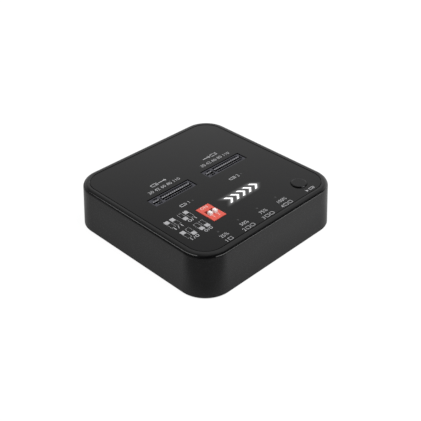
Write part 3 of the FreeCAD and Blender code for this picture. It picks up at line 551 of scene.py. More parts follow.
class FinishBook:
    """The finish of each material slot, made once and handed out by slot name."""

    def __init__(self) -> None:
        """Sets the finishes."""
        self.finishes: dict[str, Finish] = {
            "housing": Plastic(GLOSS_BLACK, 0.12, grain_height=0.0012 * MM, specular=0.8),
            "panel": SmokedPanel(GLOSS_BLACK, 0.1),
            "plate": Plastic((0.022, 0.022, 0.024), 0.55, grain_size=0.25 * MM, grain_height=0.02 * MM),
            "foot": Plastic((0.03, 0.03, 0.031), 0.8, grain_size=0.3 * MM, grain_height=0.015 * MM,
                            sheen=0.15),
            "screw": Metal((0.10, 0.10, 0.105), 0.32),
            "laminate": Plastic((0.012, 0.075, 0.04), 0.3, grain_size=0.8 * MM),
            # The socket's cells get painted shade below the top of its body
            "socket": Plastic((0.05, 0.05, 0.061), 0.42, grain_height=0.004 * MM, edge_gain=1.3,
                              dark_levels=(19.15 * MM, 19.25 * MM)),
            "contact": Metal((0.83, 0.62, 0.28), 0.25),
            "tinned": Metal((0.76, 0.76, 0.79), 0.35),
            "contact_end": Metal((0.34, 0.34, 0.36), 0.4, metallic=0.3),
            "switch_red": Plastic((0.72, 0.105, 0.075), 0.38, grain_height=0.004 * MM, edge_gain=1.15),
            "switch_black": Plastic((0.015, 0.015, 0.016), 0.45),
            "slider_white": Plastic((0.96, 0.88, 0.86), 0.35, edge_gain=1.02),
            "button": Plastic(GLOSS_BLACK, 0.14),
            "guide": Plastic((0.1, 0.1, 0.102), 0.3, edge_gain=1.1),
            "lamp": Plastic((0.9, 0.88, 0.75), 0.3, edge_gain=1.02),
            "port_shell": Metal((0.6, 0.6, 0.61), 0.28),
            "port_moulding": Plastic((0.018, 0.018, 0.019), 0.42),
            "chip": Plastic((0.022, 0.022, 0.023), 0.6, grain_height=0.01 * MM),
            "ferrite": Plastic((0.1, 0.1, 0.105), 0.7, grain_height=0.02 * MM),
            "ceramic": Plastic((0.4, 0.29, 0.19), 0.5),
            "print": Ink((0.43, 0.43, 0.44)),
            "pad_print": Ink((0.85, 0.62, 0.58)),
            "lit": LitWindow(1.1),
            "unlit": Plastic((0.045, 0.045, 0.047), 0.35, edge_gain=1.1),
        }
        self.made: dict[str, Material] = {}

    def get(self, name: str) -> Material:
        """Hands out the material of a finish, made at its first use.

        Args:
            name: Name of the finish.

        Returns:
            The finish's material.
        """
        if name not in self.made:
            self.made[name] = self.finishes[name].build(f"finish_{name}")
        return self.made[name]

    def dress_nodes(self) -> int:
        """Gives every carried-over part its finish.

        Returns:
            Number of parts dressed.
        """
        for part in frame["record"]["subparts"]:
            for place in frame["nodes"][part["node"]].material_slots:
                place.material = self.get(part["material_slot"])
        return len(frame["record"]["subparts"])


# ---- mesh builders


def add_object(name: str, data: bpy.types.ID) -> Object:
    """Makes an object of the data and puts it into the scene.

    Args:
        name: Name of the object.
        data: Its mesh, curve, lamp or camera.

    Returns:
        The new object.
    """
    item = bpy.data.objects.new(name, data)
    bpy.context.scene.collection.objects.link(item)
    return item


def plain_mesh(shape: bmesh.types.BMesh, name: str) -> Mesh:
    """Turns a shape under construction into a mesh.

    Args:
        shape: The shape, which is used up.
        name: Name of the mesh.

    Returns:
        The new mesh.
    """
    mesh = bpy.data.meshes.new(name)
    shape.to_mesh(mesh)
    shape.free()
    return mesh


def rounded_outline(centre: Point, size: Point, radius: float, steps: int = 4) -> list[Point]:
    """Outline of a rectangle with rounded corners.

    Args:
        centre: Middle of the rectangle.
        size: Width and height.
        radius: Corner radius.
        steps: Segments in each corner.

    Returns:
        The corner points, anticlockwise.
    """
    outline = []
    for turn in range(4):
        side_x, side_y = (1, 1, -1, -1)[turn], (-1, 1, 1, -1)[turn]
        corner_x = centre[0] + side_x * (size[0] / 2 - radius)
        corner_y = centre[1] + side_y * (size[1] / 2 - radius)
        for step in range(steps + 1):
            angle = math.radians(90 * (turn - 1) + 90 * step / steps)
            outline.append((corner_x + radius * math.cos(angle), corner_y + radius * math.sin(angle)))
    return outline


def circle_outline(centre: Point, radius: float, steps: int = 28) -> list[Point]:
    """Points of a circle, anticlockwise."""
    angles = (2 * math.pi * step / steps for step in range(steps))
    return [(centre[0] + radius * math.cos(angle), centre[1] + radius * math.sin(angle)) for angle in angles]


@dataclass
class Stencil:
    """Flat marks gathered into one closed mesh, drawn in millimetres.

    Args:
        level: Height of the surface that carries the marks, in metres.
        lift: How far the marks stand proud, in metres.
        sink: How far they reach into the surface, in metres.
    """

    level: float
    lift: float = 0.015 * MM
    sink: float = 0.02 * MM
    mesh: bmesh.types.BMesh = field(default_factory=bmesh.new)

    least_radius = 0.02
    letter_half = 0.5
    letter_steps = 3
    weld_reach = 1e-7

    def layers(self, outline: list[Point]) -> tuple[Layer, Layer]:
        """Adds the lower and upper points of an outline.

        Args:
            outline: The outline's points in millimetres.

        Returns:
            The lower points and the upper points.
        """
        low = [self.mesh.verts.new((x * MM, y * MM, self.level - self.sink)) for x, y in outline]
        high = [self.mesh.verts.new((x * MM, y * MM, self.level + self.lift)) for x, y in outline]
        return low, high

    def wall(self, low: Layer, high: Layer) -> None:
        """Adds the side faces between two layers of points.

        Args:
            low: The lower points.
            high: The upper points, in the same order.
        """
        count = len(low)
        for index in range(count):
            after = (index + 1) % count
            self.mesh.faces.new((low[index], low[after], high[after], high[index]))

    def patch(self, outline: list[Point]) -> None:
        """Adds a filled mark.

        Args:
            outline: The mark's corner points, in order.
        """
        low, high = self.layers(outline)
        self.mesh.faces.new(high)
        self.mesh.faces.new(list(reversed(low)))
        self.wall(low, high)

    def ring(self, outer: list[Point], inner: list[Point]) -> None:
        """Adds a mark between two outlines.

        Args:
            outer: The outer outline's points.
            inner: The inner outline's points, as many as the outer one has.
        """
        outer_low, outer_high = self.layers(outer)
        inner_low, inner_high = self.layers(inner)
        self.wall(outer_low, outer_high)
        self.wall(list(reversed(inner_low)), list(reversed(inner_high)))
        self.wall(inner_low, outer_low)
        self.wall(outer_high, inner_high)

    def box(self, centre: Point, size: Point) -> None:
        """Adds a filled rectangle.

        Args:
            centre: Middle of the rectangle.
            size: Width and height.
        """
        left, right = centre[0] - size[0] / 2, centre[0] + size[0] / 2
        low, high = centre[1] - size[1] / 2, centre[1] + size[1] / 2
        self.patch([(left, low), (right, low), (right, high), (left, high)])

    def outline_box(self, centre: Point, size: Point, stroke: float, radius: float) -> None:
        """Adds the line round a rounded rectangle.

        Args:
            centre: Middle of the rectangle.
            size: Outer width and height.
            stroke: Width of the line.
            radius: Outer corner radius.
        """
        inner_size = (size[0] - 2 * stroke, size[1] - 2 * stroke)
        inner = rounded_outline(centre, inner_size, max(radius - stroke, self.least_radius))
        self.ring(rounded_outline(centre, size, radius), inner)

    def arrow(self, start: Point, length: float, height: float, stroke: float) -> None:
        """Adds an arrow that points along +X.

        Args:
            start: Middle of the tail's end.
            length: Length with the head.
            height: Width across the head.
            stroke: Width across the tail.
        """
        x, y = start
        head = height / 2
        neck = x + length - head
        self.box(((x + neck) / 2, y), (neck - x, stroke))
        self.patch([(neck, y - head), (x + length, y), (neck, y + head)])

    def numerals(self, text: str, centre: Point, height: float, width: float | None = None) -> None:
        """Adds numerals or switch words in the plain built-in face.

        Args:
            text: The characters.
            centre: Middle of the line in millimetres.
            height: Height of the characters in millimetres.
            width: Width of the line in millimetres, if it is fixed.
        """
        curve = bpy.data.curves.new("numerals", "FONT")
        curve.body = text
        curve.extrude = self.letter_half
        curve.resolution_u = self.letter_steps
        holder = add_object("numerals", curve)
        graph = bpy.context.evaluated_depsgraph_get()
        flat = bpy.data.meshes.new_from_object(holder.evaluated_get(graph))
        xs = [point.co.x for point in flat.vertices]
        ys = [point.co.y for point in flat.vertices]
        scale = height * MM / (max(ys) - min(ys))
        stretch = scale if width is None else width * MM / (max(xs) - min(xs))
        middle = Vector(((min(xs) + max(xs)) / 2, (min(ys) + max(ys)) / 2, self.letter_half))
        depth = self.lift + self.sink
        for point in flat.vertices:
            offset = point.co - middle
            point.co = (centre[0] * MM + offset.x * stretch, centre[1] * MM + offset.y * scale,
                        self.level + self.lift + offset.z * depth)
        self.mesh.from_mesh(flat)
        bpy.data.objects.remove(holder)
        bpy.data.curves.remove(curve)
        bpy.data.meshes.remove(flat)

    def finish(self, name: str, material: Material, body: str, slot: MarkSlot) -> Object:
        """Turns the marks into one object, with the same values as settle()."""
        return settle(self.to_mesh(name), name, material, body)

    def to_mesh(self, name: str) -> Mesh:
        """Turns the marks into a closed mesh with its faces outwards.

        Args:
            name: Name of the mesh.

        Returns:
            The new mesh.
        """
        bmesh.ops.remove_doubles(self.mesh, verts=self.mesh.verts, dist=self.weld_reach)
        bmesh.ops.recalc_face_normals(self.mesh, faces=self.mesh.faces)
        return plain_mesh(self.mesh, name)


def settle(mesh: Mesh, name: str, material: Material, body: str) -> Object:
    """Makes a piece of a finished mesh.

    Args:
        mesh: The mesh, in its place.
        name: Name of the piece.
        material: Its finish.
        body: Body that it rides on.

    Returns:
        The new object.
    """
    mesh.materials.clear()
    mesh.materials.append(material)
    piece = add_object(name, mesh)
    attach(piece, body)
    return piece


# ---- geometry nodes


@dataclass
class RowTree:
    """Geometry Nodes tree that repeats one part in a straight row.

    Args:
        tree: The tree, made at its first use.
    """

    tree: bpy.types.GeometryNodeTree | None = None

    kinds = {"Part": "Geometry", "Count": "Int", "Step": "Vector", "Finish": "Material"}

    def build(self) -> bpy.types.GeometryNodeTree:
        """Makes the tree.

        Returns:
            The tree, with its sizes as named inputs.
        """
        tree = bpy.data.node_groups.new("part_row", "GeometryNodeTree")
        for name, kind in self.kinds.items():
            tree.interface.new_socket(name, in_out="INPUT", socket_type=f"NodeSocket{kind}")
        tree.interface.new_socket("Row", in_out="OUTPUT", socket_type="NodeSocketGeometry")
        bench = NodeBench(tree)
        given = bench.add("NodeGroupInput").outputs
        line = bench.add("GeometryNodeMeshLine", {"Count": given["Count"], "Offset": given["Step"]})
        values = {"Points": line.outputs["Mesh"], "Instance": given["Part"]}
        placed = bench.add("GeometryNodeInstanceOnPoints", values)
        real = bench.add("GeometryNodeRealizeInstances", {"Geometry": placed.outputs["Instances"]})
        values = {"Geometry": real.outputs["Geometry"], "Material": given["Finish"]}
        dressed = bench.add("GeometryNodeSetMaterial", values)
        bench.add("NodeGroupOutput", {"Row": dressed.outputs["Geometry"]})
        return tree

    def run(self, part: Mesh, count: int, pitch: float,
            finish: Material) -> Mesh:
        """Repeats a part along X.

        Args:
            part: The first part, in its place.
            count: Number of parts.
            pitch: Distance between them in millimetres.
            finish: Material of the row.

        Returns:
            The row as a plain mesh.
        """
        self.tree = self.tree or self.build()
        holder = add_object("holder", part)
        modifier = holder.modifiers.new("row", "NODES")
        modifier.node_group = self.tree
        values = {"Count": count, "Step": (pitch * MM, 0.0, 0.0), "Finish": finish}
        for item in self.tree.interface.items_tree:
            if item.in_out == "INPUT" and item.name in values:
                modifier[item.identifier] = values[item.name]
        graph = bpy.context.evaluated_depsgraph_get()
        result = bpy.data.meshes.new_from_object(holder.evaluated_get(graph))
        holder.modifiers.clear()
        bpy.data.objects.remove(holder)
        return result


def joined(meshes: list[Mesh], name: str) -> Mesh:
    """Joins meshes into one.

    Args:
        meshes: The meshes, which are used up.
        name: Name of the result.

    Returns:
        The joined mesh.
    """
    whole = bmesh.new()
    for mesh in meshes:
        whole.from_mesh(mesh)
        bpy.data.meshes.remove(mesh)
    return plain_mesh(whole, name)


# ---- sub-assemblies


@dataclass
class TopMarks:
    """Printed marks of the top panel, in millimetres."""

    book: FinishBook

    # Lines and letters
    line_height: float = 1.7
    small_height: float = 1.5
    stroke: float = 0.22
    bold: float = 0.29
    key_line: float = 0.1
    corner: float = 0.35

    # Place and height of the bar in a drive's box, as shares of the box
    bar_shares: Point = (0.24, 0.4)

    # Titles behind the sockets: a drive and an arrow out of it or into it
    title_centres: tuple[Point, ...] = ((-14.6, 12.5), (14.7, 12.5))
    title_drive: Point = (3.5, 1.75)
    title_drive_shifts: Point = (-2.35, 2.35)
    title_arrow: tuple[float, float, float] = (4.1, 1.75, 0.42)
    title_arrow_shifts: Point = (-0.1, -3.9)

    # Lengths of cards below the titles
    length_centres: tuple[Point, ...] = ((-14.4, 9.2), (14.6, 9.1))
    length_width: float = 16.6
    card_lengths: str = "30 42 60 80 110"

    # Drives and their numbers in front of the sockets
    drive_places: tuple[Point, ...] = ((-17.5, -6.25), (10.2, -6.45))
    drive_size: Point = (3.3, 1.5)
    drive_shift: float = -1.0
    number_shift: float = 2.0

    # Progress steps and the row of drives below them
    step_places: tuple[float, ...] = (-21.4, -10.6, 0.3, 11.2)
    step_labels: tuple[str, ...] = ("25%", "50%", "75%", "100%")
    step_y: float = -31.4
    drive_row_y: float = -34.45
    row_inset: float = 0.55
    row_half_pitch: float = 1.25
    row_start: float = 2.1
    row_drive_width: float = 2.0
    row_corner: float = 0.3

    # Legend of the mode switch: keys with a filled half at their setting
    legend_columns: tuple[Point, ...] = ((-31.25, -28.35), (-24.2, -21.35))
    legend_rows: Point = (-12.05, -20.95)
    legend_label_drop: float = 3.6
    legend_label_width: float = 3.9
    key_size: Point = (2.05, 4.95)
    fill_size: Point = (1.75, 1.85)
    fill_shift: float = 1.4

    # Start sign beside the button
    start_place: Point = (25.3, -34.2)
    start_sign: tuple[Point, ...] = ((-2.3, -0.7), (-1.0, 0.0), (-2.3, 0.7))
    start_drive: Point = (2.9, 1.35)
    start_drive_shift: float = 1.0

    def build(self) -> list[Object]:
        """Makes all printed marks.

        Returns:
            The printed pieces.
        """
        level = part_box("top_panel")[1].z
        ink = self.book.get("print")
        makers = {"card_marks": self.draw_cards, "drive_marks": self.draw_drives,
                  "progress_marks": self.draw_progress, "switch_legend": self.draw_legend,
                  "start_mark": self.draw_start}
        pieces = []
        for name, draw in makers.items():
            stencil = Stencil(level)
            draw(stencil)
            pieces.append(stencil.finish(name, ink, CHASSIS, MarkSlot.PRINT))
        return pieces

    def draw_drive(self, stencil: Stencil, centre: Point, size: Point) -> None:
        """Draws a drive as an outlined box with a bar at its end.

        Args:
            stencil: The stencil that the marks go on.
            centre: Middle of the box.
            size: Its width and height.
        """
        place, height = self.bar_shares
        stencil.outline_box(centre, size, self.bold, self.corner)
        stencil.box((centre[0] + size[0] * place, centre[1]), (self.bold, size[1] * height))

    def draw_cards(self, stencil: Stencil) -> None:
        """Draws the titles and card lengths behind both sockets.

        Args:
            stencil: The stencil that the marks go on.
        """
        for index, (x, y) in enumerate(self.title_centres):
            self.draw_drive(stencil, (x + self.title_drive_shifts[index], y), self.title_drive)
            stencil.arrow((x + self.title_arrow_shifts[index], y), *self.title_arrow)
        for centre in self.length_centres:
            stencil.numerals(self.card_lengths, centre, self.line_height, self.length_width)

    def draw_drives(self, stencil: Stencil) -> None:
        """Draws a drive and its number in front of each socket.

        Args:
            stencil: The stencil that the marks go on.
        """
        for index, (x, y) in enumerate(self.drive_places):
            self.draw_drive(stencil, (x + self.drive_shift, y), self.drive_size)
            stencil.numerals(str(index + 1), (x + self.number_shift, y), self.line_height)

    def draw_progress(self, stencil: Stencil) -> None:
        """Draws the progress steps and the row of drives below them.

        Args:
            stencil: The stencil that the marks go on.
        """
        for index, x in enumerate(self.step_places):
            stencil.numerals(self.step_labels[index], (x, self.step_y), self.line_height)
            drives = 1 if index == 0 else 2
            left = x - self.row_inset - self.row_half_pitch * drives
            stencil.numerals(str(index + 1), (left, self.drive_row_y), self.line_height)
            for number in range(drives):
                centre = (left + self.row_start + 2 * self.row_half_pitch * number, self.drive_row_y)
                size = (self.row_drive_width, self.line_height)
                stencil.outline_box(centre, size, self.stroke, self.row_corner)

    def draw_legend(self, stencil: Stencil) -> None:
        """Draws the four settings of the two-way switch.

        Args:
            stencil: The stencil that the marks go on.
        """
        settings = (((1, 1), (0, 1)), ((1, 0), (0, 0)))
        for row, row_settings in enumerate(settings):
            for column, keys in enumerate(row_settings):
                for side, state in enumerate(keys):
                    x, y = self.legend_columns[column][side], self.legend_rows[row]
                    stencil.outline_box((x, y), self.key_size, self.key_line, self.corner)
                    shift = self.fill_shift if state else -self.fill_shift
                    stencil.box((x, y + shift), self.fill_size)
                middle = (sum(self.legend_columns[column]) / 2, y - self.legend_label_drop)
                label = f"{keys[0]}/{keys[1]}"
                stencil.numerals(label, middle, self.small_height, self.legend_label_width)

    def draw_start(self, stencil: Stencil) -> None:
        """Draws the start sign beside the button: a triangle and a drive.

        Args:
            stencil: The stencil that the marks go on.
        """
        x, y = self.start_place
        stencil.patch([(x + along, y + up) for along, up in self.start_sign])
        self.draw_drive(stencil, (x + self.start_drive_shift, y), self.start_drive)


@dataclass
class PanelLights:
    """Lit arrows and the small lamp windows of the top panel, in millimetres."""

    book: FinishBook
    rows: RowTree
    arrows: ArrowRow = ArrowRow()
    dot_radius: float = 0.42
    progress_start: Point = (-21.5, -28.3)
    progress_step: float = 10.83
    progress_count: int = 4
    slot_dots: tuple[Point, ...] = ((-13.6, -6.5), (14.15, -6.55))

    def build(self) -> list[Object]:
        """Makes the lit row and the lamp windows.

        Returns:
            The new pieces.
        """
        row = self.arrows
        lit = self.repeat("lit_arrows", row.outline(), row.count, row.pitch, "lit")
        dot = circle_outline(self.progress_start, self.dot_radius)
        steps = self.repeat("progress_windows", dot, self.progress_count, self.progress_step, "unlit")
        stencil = Stencil(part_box("top_panel")[1].z)
        for centre in self.slot_dots:
            stencil.patch(circle_outline(centre, self.dot_radius))
        slots = stencil.finish("slot_windows", self.book.get("unlit"), CHASSIS, MarkSlot.DOT)
        return [lit, steps, slots]

    def repeat(self, name: str, shape: list[Point], count: int, pitch: float, finish: str) -> Object:
        """Repeats a flat shape along X.

        Args:
            name: Name of the piece.
            shape: Outline of the first mark.
            count: Number of marks.
            pitch: Distance between them.
            finish: Name of the finish.

        Returns:
            The row as one object.
        """
        stencil = Stencil(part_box("top_panel")[1].z)
        stencil.patch(shape)
        material = self.book.get(finish)
        row = self.rows.run(stencil.to_mesh(name), count, pitch, material)
        return settle(row, name, material, CHASSIS)


@dataclass
class CardSocket:
    """Cell ribs and contact noses of one card socket, in millimetres from its middle."""

    book: FinishBook
    rows: RowTree
    name: str
    pitch: float = 1.08
    rib: Point = (0.32, 1.0)
    rib_y: float = 1.62
    rib_height: float = 1.9
    rib_drop: float = 0.09
    end_block: tuple[float, float] = (-9.2, 1.2)
    rib_groups: tuple[tuple[float, int], ...] = ((-7.73, 1), (-4.09, 13))
    nose_width: float = 0.84
    nose_groups: tuple[tuple[float, int], ...] = ((-9.35, 3), (-4.63, 14))
    nose_profile: tuple[Point, ...] = (
        (0.68, -0.46), (0.57, -0.4), (0.55, -0.32), (0.63, -0.21),
        (0.78, -0.11), (0.98, -0.04), (0.94, -0.2), (0.8, -0.44))

    def build(self) -> list[Object]:
        """Makes the ribs and noses of both rows.

        Returns:
            The ribs and the noses, each as one object.
        """
        blocks = [(*self.end_block, 1)]
        blocks += [(start, self.rib[0], count) for start, count in self.rib_groups]
        ribs = [(self.rib_mesh(start, width, side), count)
                for side in (-1, 1) for start, width, count in blocks]
        noses = [(self.nose_mesh(start, side), count)
                 for side in (-1, 1) for start, count in self.nose_groups]
        return [self.place_rows("ribs", ribs, "socket"),
                self.place_rows("noses", noses, "contact_end")]

    def place_rows(self, kind: str, firsts: list[tuple[Mesh, int]], finish: str) -> Object:
        """Repeats parts along the socket and joins them.

        Args:
            kind: What the parts are, for the piece's name.
            firsts: The first part of each row and the number of parts in it.
            finish: Name of the finish.

        Returns:
            The rows as one object.
        """
        material = self.book.get(finish)
        name = f"{self.name}_socket_{kind}"
        parts = [self.rows.run(mesh, count, self.pitch, material) for mesh, count in firsts]
        return settle(joined(parts, name), name, material, CHASSIS)

    def middle(self) -> Vector:
        """Returns the middle of the socket's top face, in metres."""
        low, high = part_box(f"{self.name}_socket_body")
        return Vector(((low.x + high.x) / 2, (low.y + high.y) / 2, high.z))

    def rib_mesh(self, start: float, width: float, side: int) -> Mesh:
        """Makes one rib between two cells.

        Args:
            start: Its place along X from the socket's middle.
            width: Its width along X.
            side: 1 for the rear row, -1 for the front row.

        Returns:
            The rib as a closed mesh.
        """
        middle = self.middle()
        stencil = Stencil(middle.z, -self.rib_drop * MM, self.rib_height * MM)
        place = (middle.x / MM + start, middle.y / MM + side * self.rib_y)
        stencil.box(place, (width, self.rib[1]))
        return stencil.to_mesh("rib")

    def nose_mesh(self, start: float, side: int) -> Mesh:
        """Makes one contact nose that shows along the card slot.

        Args:
            start: Its place along X from the socket's middle.
            side: 1 for the rear row, -1 for the front row.

        Returns:
            The nose as a closed mesh.
        """
        middle = self.middle()
        shape = bmesh.new()
        layers = []
        for end in (-1, 1):
            x = middle.x + (start + end * self.nose_width / 2) * MM
            layers.append([shape.verts.new((x, middle.y + side * y * MM, middle.z + z * MM))
                           for y, z in self.nose_profile])
        first, last = layers
        for index in range(len(first)):
            after = (index + 1) % len(first)
            shape.faces.new((first[index], first[after], last[after], last[index]))
        for layer in layers:
            shape.faces.new(layer)
        bmesh.ops.recalc_face_normals(shape, faces=shape.faces)
        return plain_mesh(shape, "nose")


@dataclass
class ModeSwitchMarks:
    """Printed marks on the two-way switch's red cover, in millimetres."""

    book: FinishBook
    height: float = 1.6
    word_rise: float = 4.0
    number_shift: float = 1.2
    number_drop: float = 2.8

    def build(self) -> Object:
        """Makes the marks.

        Returns:
            The marks as one object.
        """
        low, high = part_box("dip_switch_cover")
        middle_x, middle_y = (low.x + high.x) / 2 / MM, (low.y + high.y) / 2 / MM
        stencil = Stencil(high.z)
        stencil.numerals("ON", (middle_x, middle_y + self.word_rise), self.height)
        for number, side in ((1, -1), (2, 1)):
            centre = (middle_x + side * self.number_shift, middle_y - self.number_drop)
            stencil.numerals(str(number), centre, self.height)
        return stencil.finish("switch_marks", self.book.get("pad_print"), CHASSIS, MarkSlot.PRINT)


# ---- studio


@dataclass
class Camera:
    """Camera of the main view, aimed at the object. Lengths are in metres, angles in degrees."""

    azimuth: float = -44.921
    elevation: float = 34.801
    roll: float = -0.234
    distance: float = 0.337735
    slide_right: float = 0.001987
    slide_up: float = -0.004247
    lens: float = 69.37
    clip: tuple[float, float] = (0.01, 20.0)
    target: Vector = field(default_factory=lambda: Vector((0.0, 0.0, 0.00995)))

    def build(self) -> None:
        """Makes the camera and sets it as the scene's own."""
        turn, rise, roll = (math.radians(angle) for angle in (self.azimuth, self.elevation, self.roll))
        back = Vector((math.sin(turn) * math.cos(rise), -math.cos(turn) * math.cos(rise), math.sin(rise)))
        level_right = Vector((math.cos(turn), math.sin(turn), 0.0))
        level_up = back.cross(level_right)
        right = level_right * math.cos(roll) + level_up * math.sin(roll)
        up = level_up * math.cos(roll) - level_right * math.sin(roll)
        lens = bpy.data.cameras.new("camera")
        lens.lens = self.lens
        lens.clip_start, lens.clip_end = self.clip
        camera = add_object("camera", lens)
        axes = Matrix((right, up, back)).transposed().to_4x4()
        place = self.target + back * self.distance + right * self.slide_right + up * self.slide_up
        camera.matrix_world = Matrix.Translation(place) @ axes
        bpy.context.scene.camera = camera


@dataclass
class SoftBox:
    """A soft box that faces the object.

    Args:
        name: Name of the lamp.
        start: One end of its long middle line, in metres.
        end: The other end.
        width: Its short side in metres.
        radiance: Brightness of its face.
        mirrored: Whether gloss shows it.
    """

    name: str
    start: Vector
    end: Vector
    width: float
    radiance: float
    mirrored: bool = True

    def build(self) -> None:
        """Makes the lamp."""
        middle, run = (self.start + self.end) / 2, self.end - self.start
        data = bpy.data.lights.new(self.name, "AREA")
        data.shape = "RECTANGLE"
        data.size, data.size_y = self.width, run.length
        data.energy = self.radiance * math.pi * self.width * run.length
        lamp = add_object(self.name, data)
        lamp.visible_glossy = self.mirrored
        long_side = run.normalized()
        outward = (middle - long_side * middle.dot(long_side)).normalized()
        axes = Matrix((long_side.cross(outward), long_side, outward)).transposed().to_4x4()
        lamp.matrix_world = Matrix.Translation(middle) @ axes


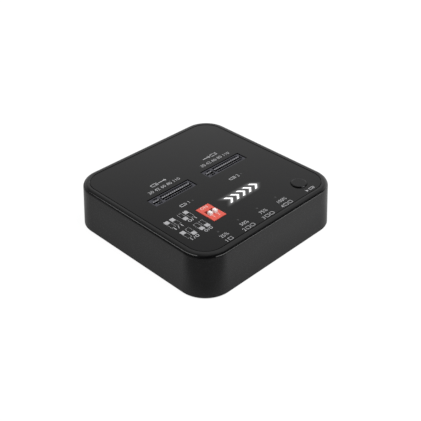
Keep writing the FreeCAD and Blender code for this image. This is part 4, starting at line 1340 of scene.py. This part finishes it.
@dataclass
class Studio:
    """Floor, surroundings and lamps.

    Each ramp maps a range of places, in metres on the floor or as a direction in the
    surroundings, to a range of brightness.

    Args:
        floor_size: Side of the floor in metres.
        fill: Even light of the surroundings on matt faces.
        sheet_level: Brightness of the floor in a reflection.
        footprint: Half of the body's straight side and its corner radius, in metres.
    """

    floor_size: float = 8.0
    fill: float = 0.5
    sheet_level: float = 0.47
    footprint: tuple[float, float] = (0.0275, 0.0122)

    # Floor seen in a reflection, by the distance in front, to the side and from the body: painted shadow of
    # the body in front, on the left and close to it, and painted light far to the right
    front_ramp = (-0.062, -0.046, 0.5, 1.0)
    far_front_ramp = (-0.14, -0.062, 0.3, 1.0)
    left_ramp = (-0.2, 0.05, 0.42, 1.0)
    right_ramp = (0.075, 0.16, 1.0, 1.9)
    close_ramp = (0.040, 0.052, 0.76, 1.0)

    # Surroundings seen in a reflection, by direction
    across_ramp = (-0.8, 0.55, 0.08, 1.0)
    depth_ramp = (-0.62, -0.2, 0.05, 1.0)
    height_ramp = (0.42, 0.63, 0.72, 0.33)
    top_ramp = (0.64, 0.76, 0.0, 0.1)

    # Floor to other rays, and its own light to the camera up to the body's foot, where it stops in a painted
    # contact shadow
    paper_white = 0.8
    paper_scale = 400.0
    paper_relief = 0.00002
    camera_dimming = -0.7
    mirror_dimming = -0.8
    open_glow = 0.945
    contact_blur = (0.0011, 0.0003)

    def build(self) -> None:
        """Makes the studio."""
        self.make_floor()
        self.make_world()
        SoftBox("left_strip", Vector((-0.68, 0.782, 0.505)), Vector((-0.4, -0.1, 0.425)),
                width=0.13, radiance=2.15).build()
        SoftBox("right_strip", Vector((0.665, -0.675, -0.03)), Vector((-0.128, -0.808, 0.178)),
                width=0.13, radiance=2.8).build()
        SoftBox("key", Vector((0.0, -0.35, 1.15)), Vector((0.5, -0.35, 1.1)),
                width=0.5, radiance=11.5, mirrored=False).build()

    @staticmethod
    def seen(bench: NodeBench) -> tuple[Socket, Socket]:
        """Tells camera rays from mirrored or transmitted ones.

        Args:
            bench: The material's bench.

        Returns:
            The mask of camera rays and the mask of the others.
        """
        path = bench.add("ShaderNodeLightPath").outputs
        mirrored = bench.math("MAXIMUM", path["Is Glossy Ray"], path["Is Transmission Ray"])
        return path["Is Camera Ray"], mirrored

    def sheet_glow(self, bench: NodeBench) -> Socket:
        """Makes the floor's brightness in a reflection, with painted shadow in front, on the left and near
        the body, and painted light far to the right.

        Args:
            bench: The material's bench.

        Returns:
            The brightness's socket.
        """
        x, y, _ = bench.parts(bench.place())
        depth = bench.math("MULTIPLY", bench.math("ADD", x, y), DIAGONAL)
        side = bench.math("MULTIPLY", bench.math("SUBTRACT", x, y), DIAGONAL)
        reach = bench.math("MAXIMUM", bench.math("ABSOLUTE", x), bench.math("ABSOLUTE", y))
        shares = [bench.ranged(depth, *self.front_ramp, smooth=True),
                  bench.ranged(depth, *self.far_front_ramp),
                  bench.ranged(side, *self.left_ramp),
                  bench.ranged(side, *self.right_ramp),
                  bench.ranged(reach, *self.close_ramp)]
        level = self.sheet_level
        for share in shares:
            level = bench.math("MULTIPLY", share, level)
        return level

    def beside_body(self, bench: NodeBench) -> Socket:
        """Makes the mask of a painted contact shadow, which cuts the floor's own light under the body.

        Args:
            bench: The material's bench.

        Returns:
            The mask's socket, 0 below the body and 1 beside it.
        """
        flat, corner = self.footprint
        outside = (bench.beyond(bench.math("ABSOLUTE", value), flat)
                   for value in bench.parts(bench.place())[:2])
        edges = (corner - blur for blur in self.contact_blur)
        return bench.ranged(bench.distance(*outside), *edges, 0.0, 1.0)

    def make_floor(self) -> None:
        """Makes the pale floor: white to the camera with a faint shadow, a painted contact shadow under the
        body and painted shading in reflections.
        """
        material, bench, output = new_material("floor")
        camera, mirrored = self.seen(bench)
        paper = bench.add("ShaderNodeTexNoise", {"Scale": self.paper_scale, "Detail": 3.0}).outputs[0]
        pale = bench.math("MULTIPLY_ADD", camera, self.camera_dimming, self.paper_white)
        pale = bench.math("MULTIPLY_ADD", mirrored, self.mirror_dimming, pale)
        values = {"Color": pale, "Normal": bench.relief(paper, self.paper_relief)}
        lit = bench.add("ShaderNodeBsdfDiffuse", values)
        # Painted light and shadow on the floor, which only reflections see
        glow = bench.math("MULTIPLY", mirrored, self.sheet_glow(bench))
        # Painted contact shadow: the floor's own light to the camera stops under the body
        open_floor = bench.math("MULTIPLY", self.beside_body(bench), self.open_glow)
        glow = bench.math("MULTIPLY_ADD", camera, open_floor, glow)
        white = bench.add("ShaderNodeEmission", {"Color": opaque(WHITE), "Strength": glow})
        sheet = bench.add("ShaderNodeAddShader", {0: lit.outputs[0], 1: white.outputs[0]})
        bench.feed(output.inputs["Surface"], sheet.outputs[0])
        grid = bmesh.new()
        bmesh.ops.create_grid(grid, x_segments=4, y_segments=4, size=self.floor_size / 2)
        mesh = plain_mesh(grid, "floor")
        mesh.materials.append(material)
        floor = add_object("floor", mesh)

    def make_world(self) -> None:
        """Makes the surroundings: white to the camera, a soft studio to gloss, even fill to the rest."""
        world = bpy.data.worlds.new("studio")
        world.use_nodes = True
        world.node_tree.nodes.clear()
        bench = NodeBench(world.node_tree)
        camera, mirrored = self.seen(bench)
        direction = bench.add("ShaderNodeTexCoord").outputs["Generated"]
        x, y, z = bench.parts(direction)
        across = bench.ranged(x, *self.across_ramp)
        depth = bench.ranged(y, *self.depth_ramp)
        height = bench.math("ADD", bench.ranged(z, *self.height_ramp), bench.ranged(z, *self.top_ramp))
        studio = bench.math("MULTIPLY", bench.math("MULTIPLY", across, depth), height)
        level = bench.blend(camera, bench.blend(mirrored, self.fill, studio), 1.0)
        surround = bench.add("ShaderNodeBackground", {"Color": opaque(WHITE), "Strength": level})
        output = bench.add("ShaderNodeOutputWorld")
        bench.feed(output.inputs["Surface"], surround.outputs[0])
        bpy.context.scene.world = world


def main() -> None:
    """Builds every sub-assembly's dressing, the marks and the studio, and reports each piece."""
    logging.basicConfig(level=logging.INFO, format="%(name)s %(message)s")
    bpy.context.view_layer.update()
    bpy.context.scene.view_settings.view_transform = "Standard"
    Camera().build()
    Studio().build()
    book = FinishBook()
    LOG.info("dressed %d carried-over parts", book.dress_nodes())
    rows = RowTree()
    pieces = TopMarks(book).build() + PanelLights(book, rows).build()
    for name in ("source", "target"):
        pieces += CardSocket(book, rows, name).build()
    pieces.append(ModeSwitchMarks(book).build())
    for piece in pieces:
        LOG.info("piece %s: %d faces", piece.name, len(piece.data.polygons))
    bpy.context.view_layer.update()


if __name__ == "__main__":
    main()
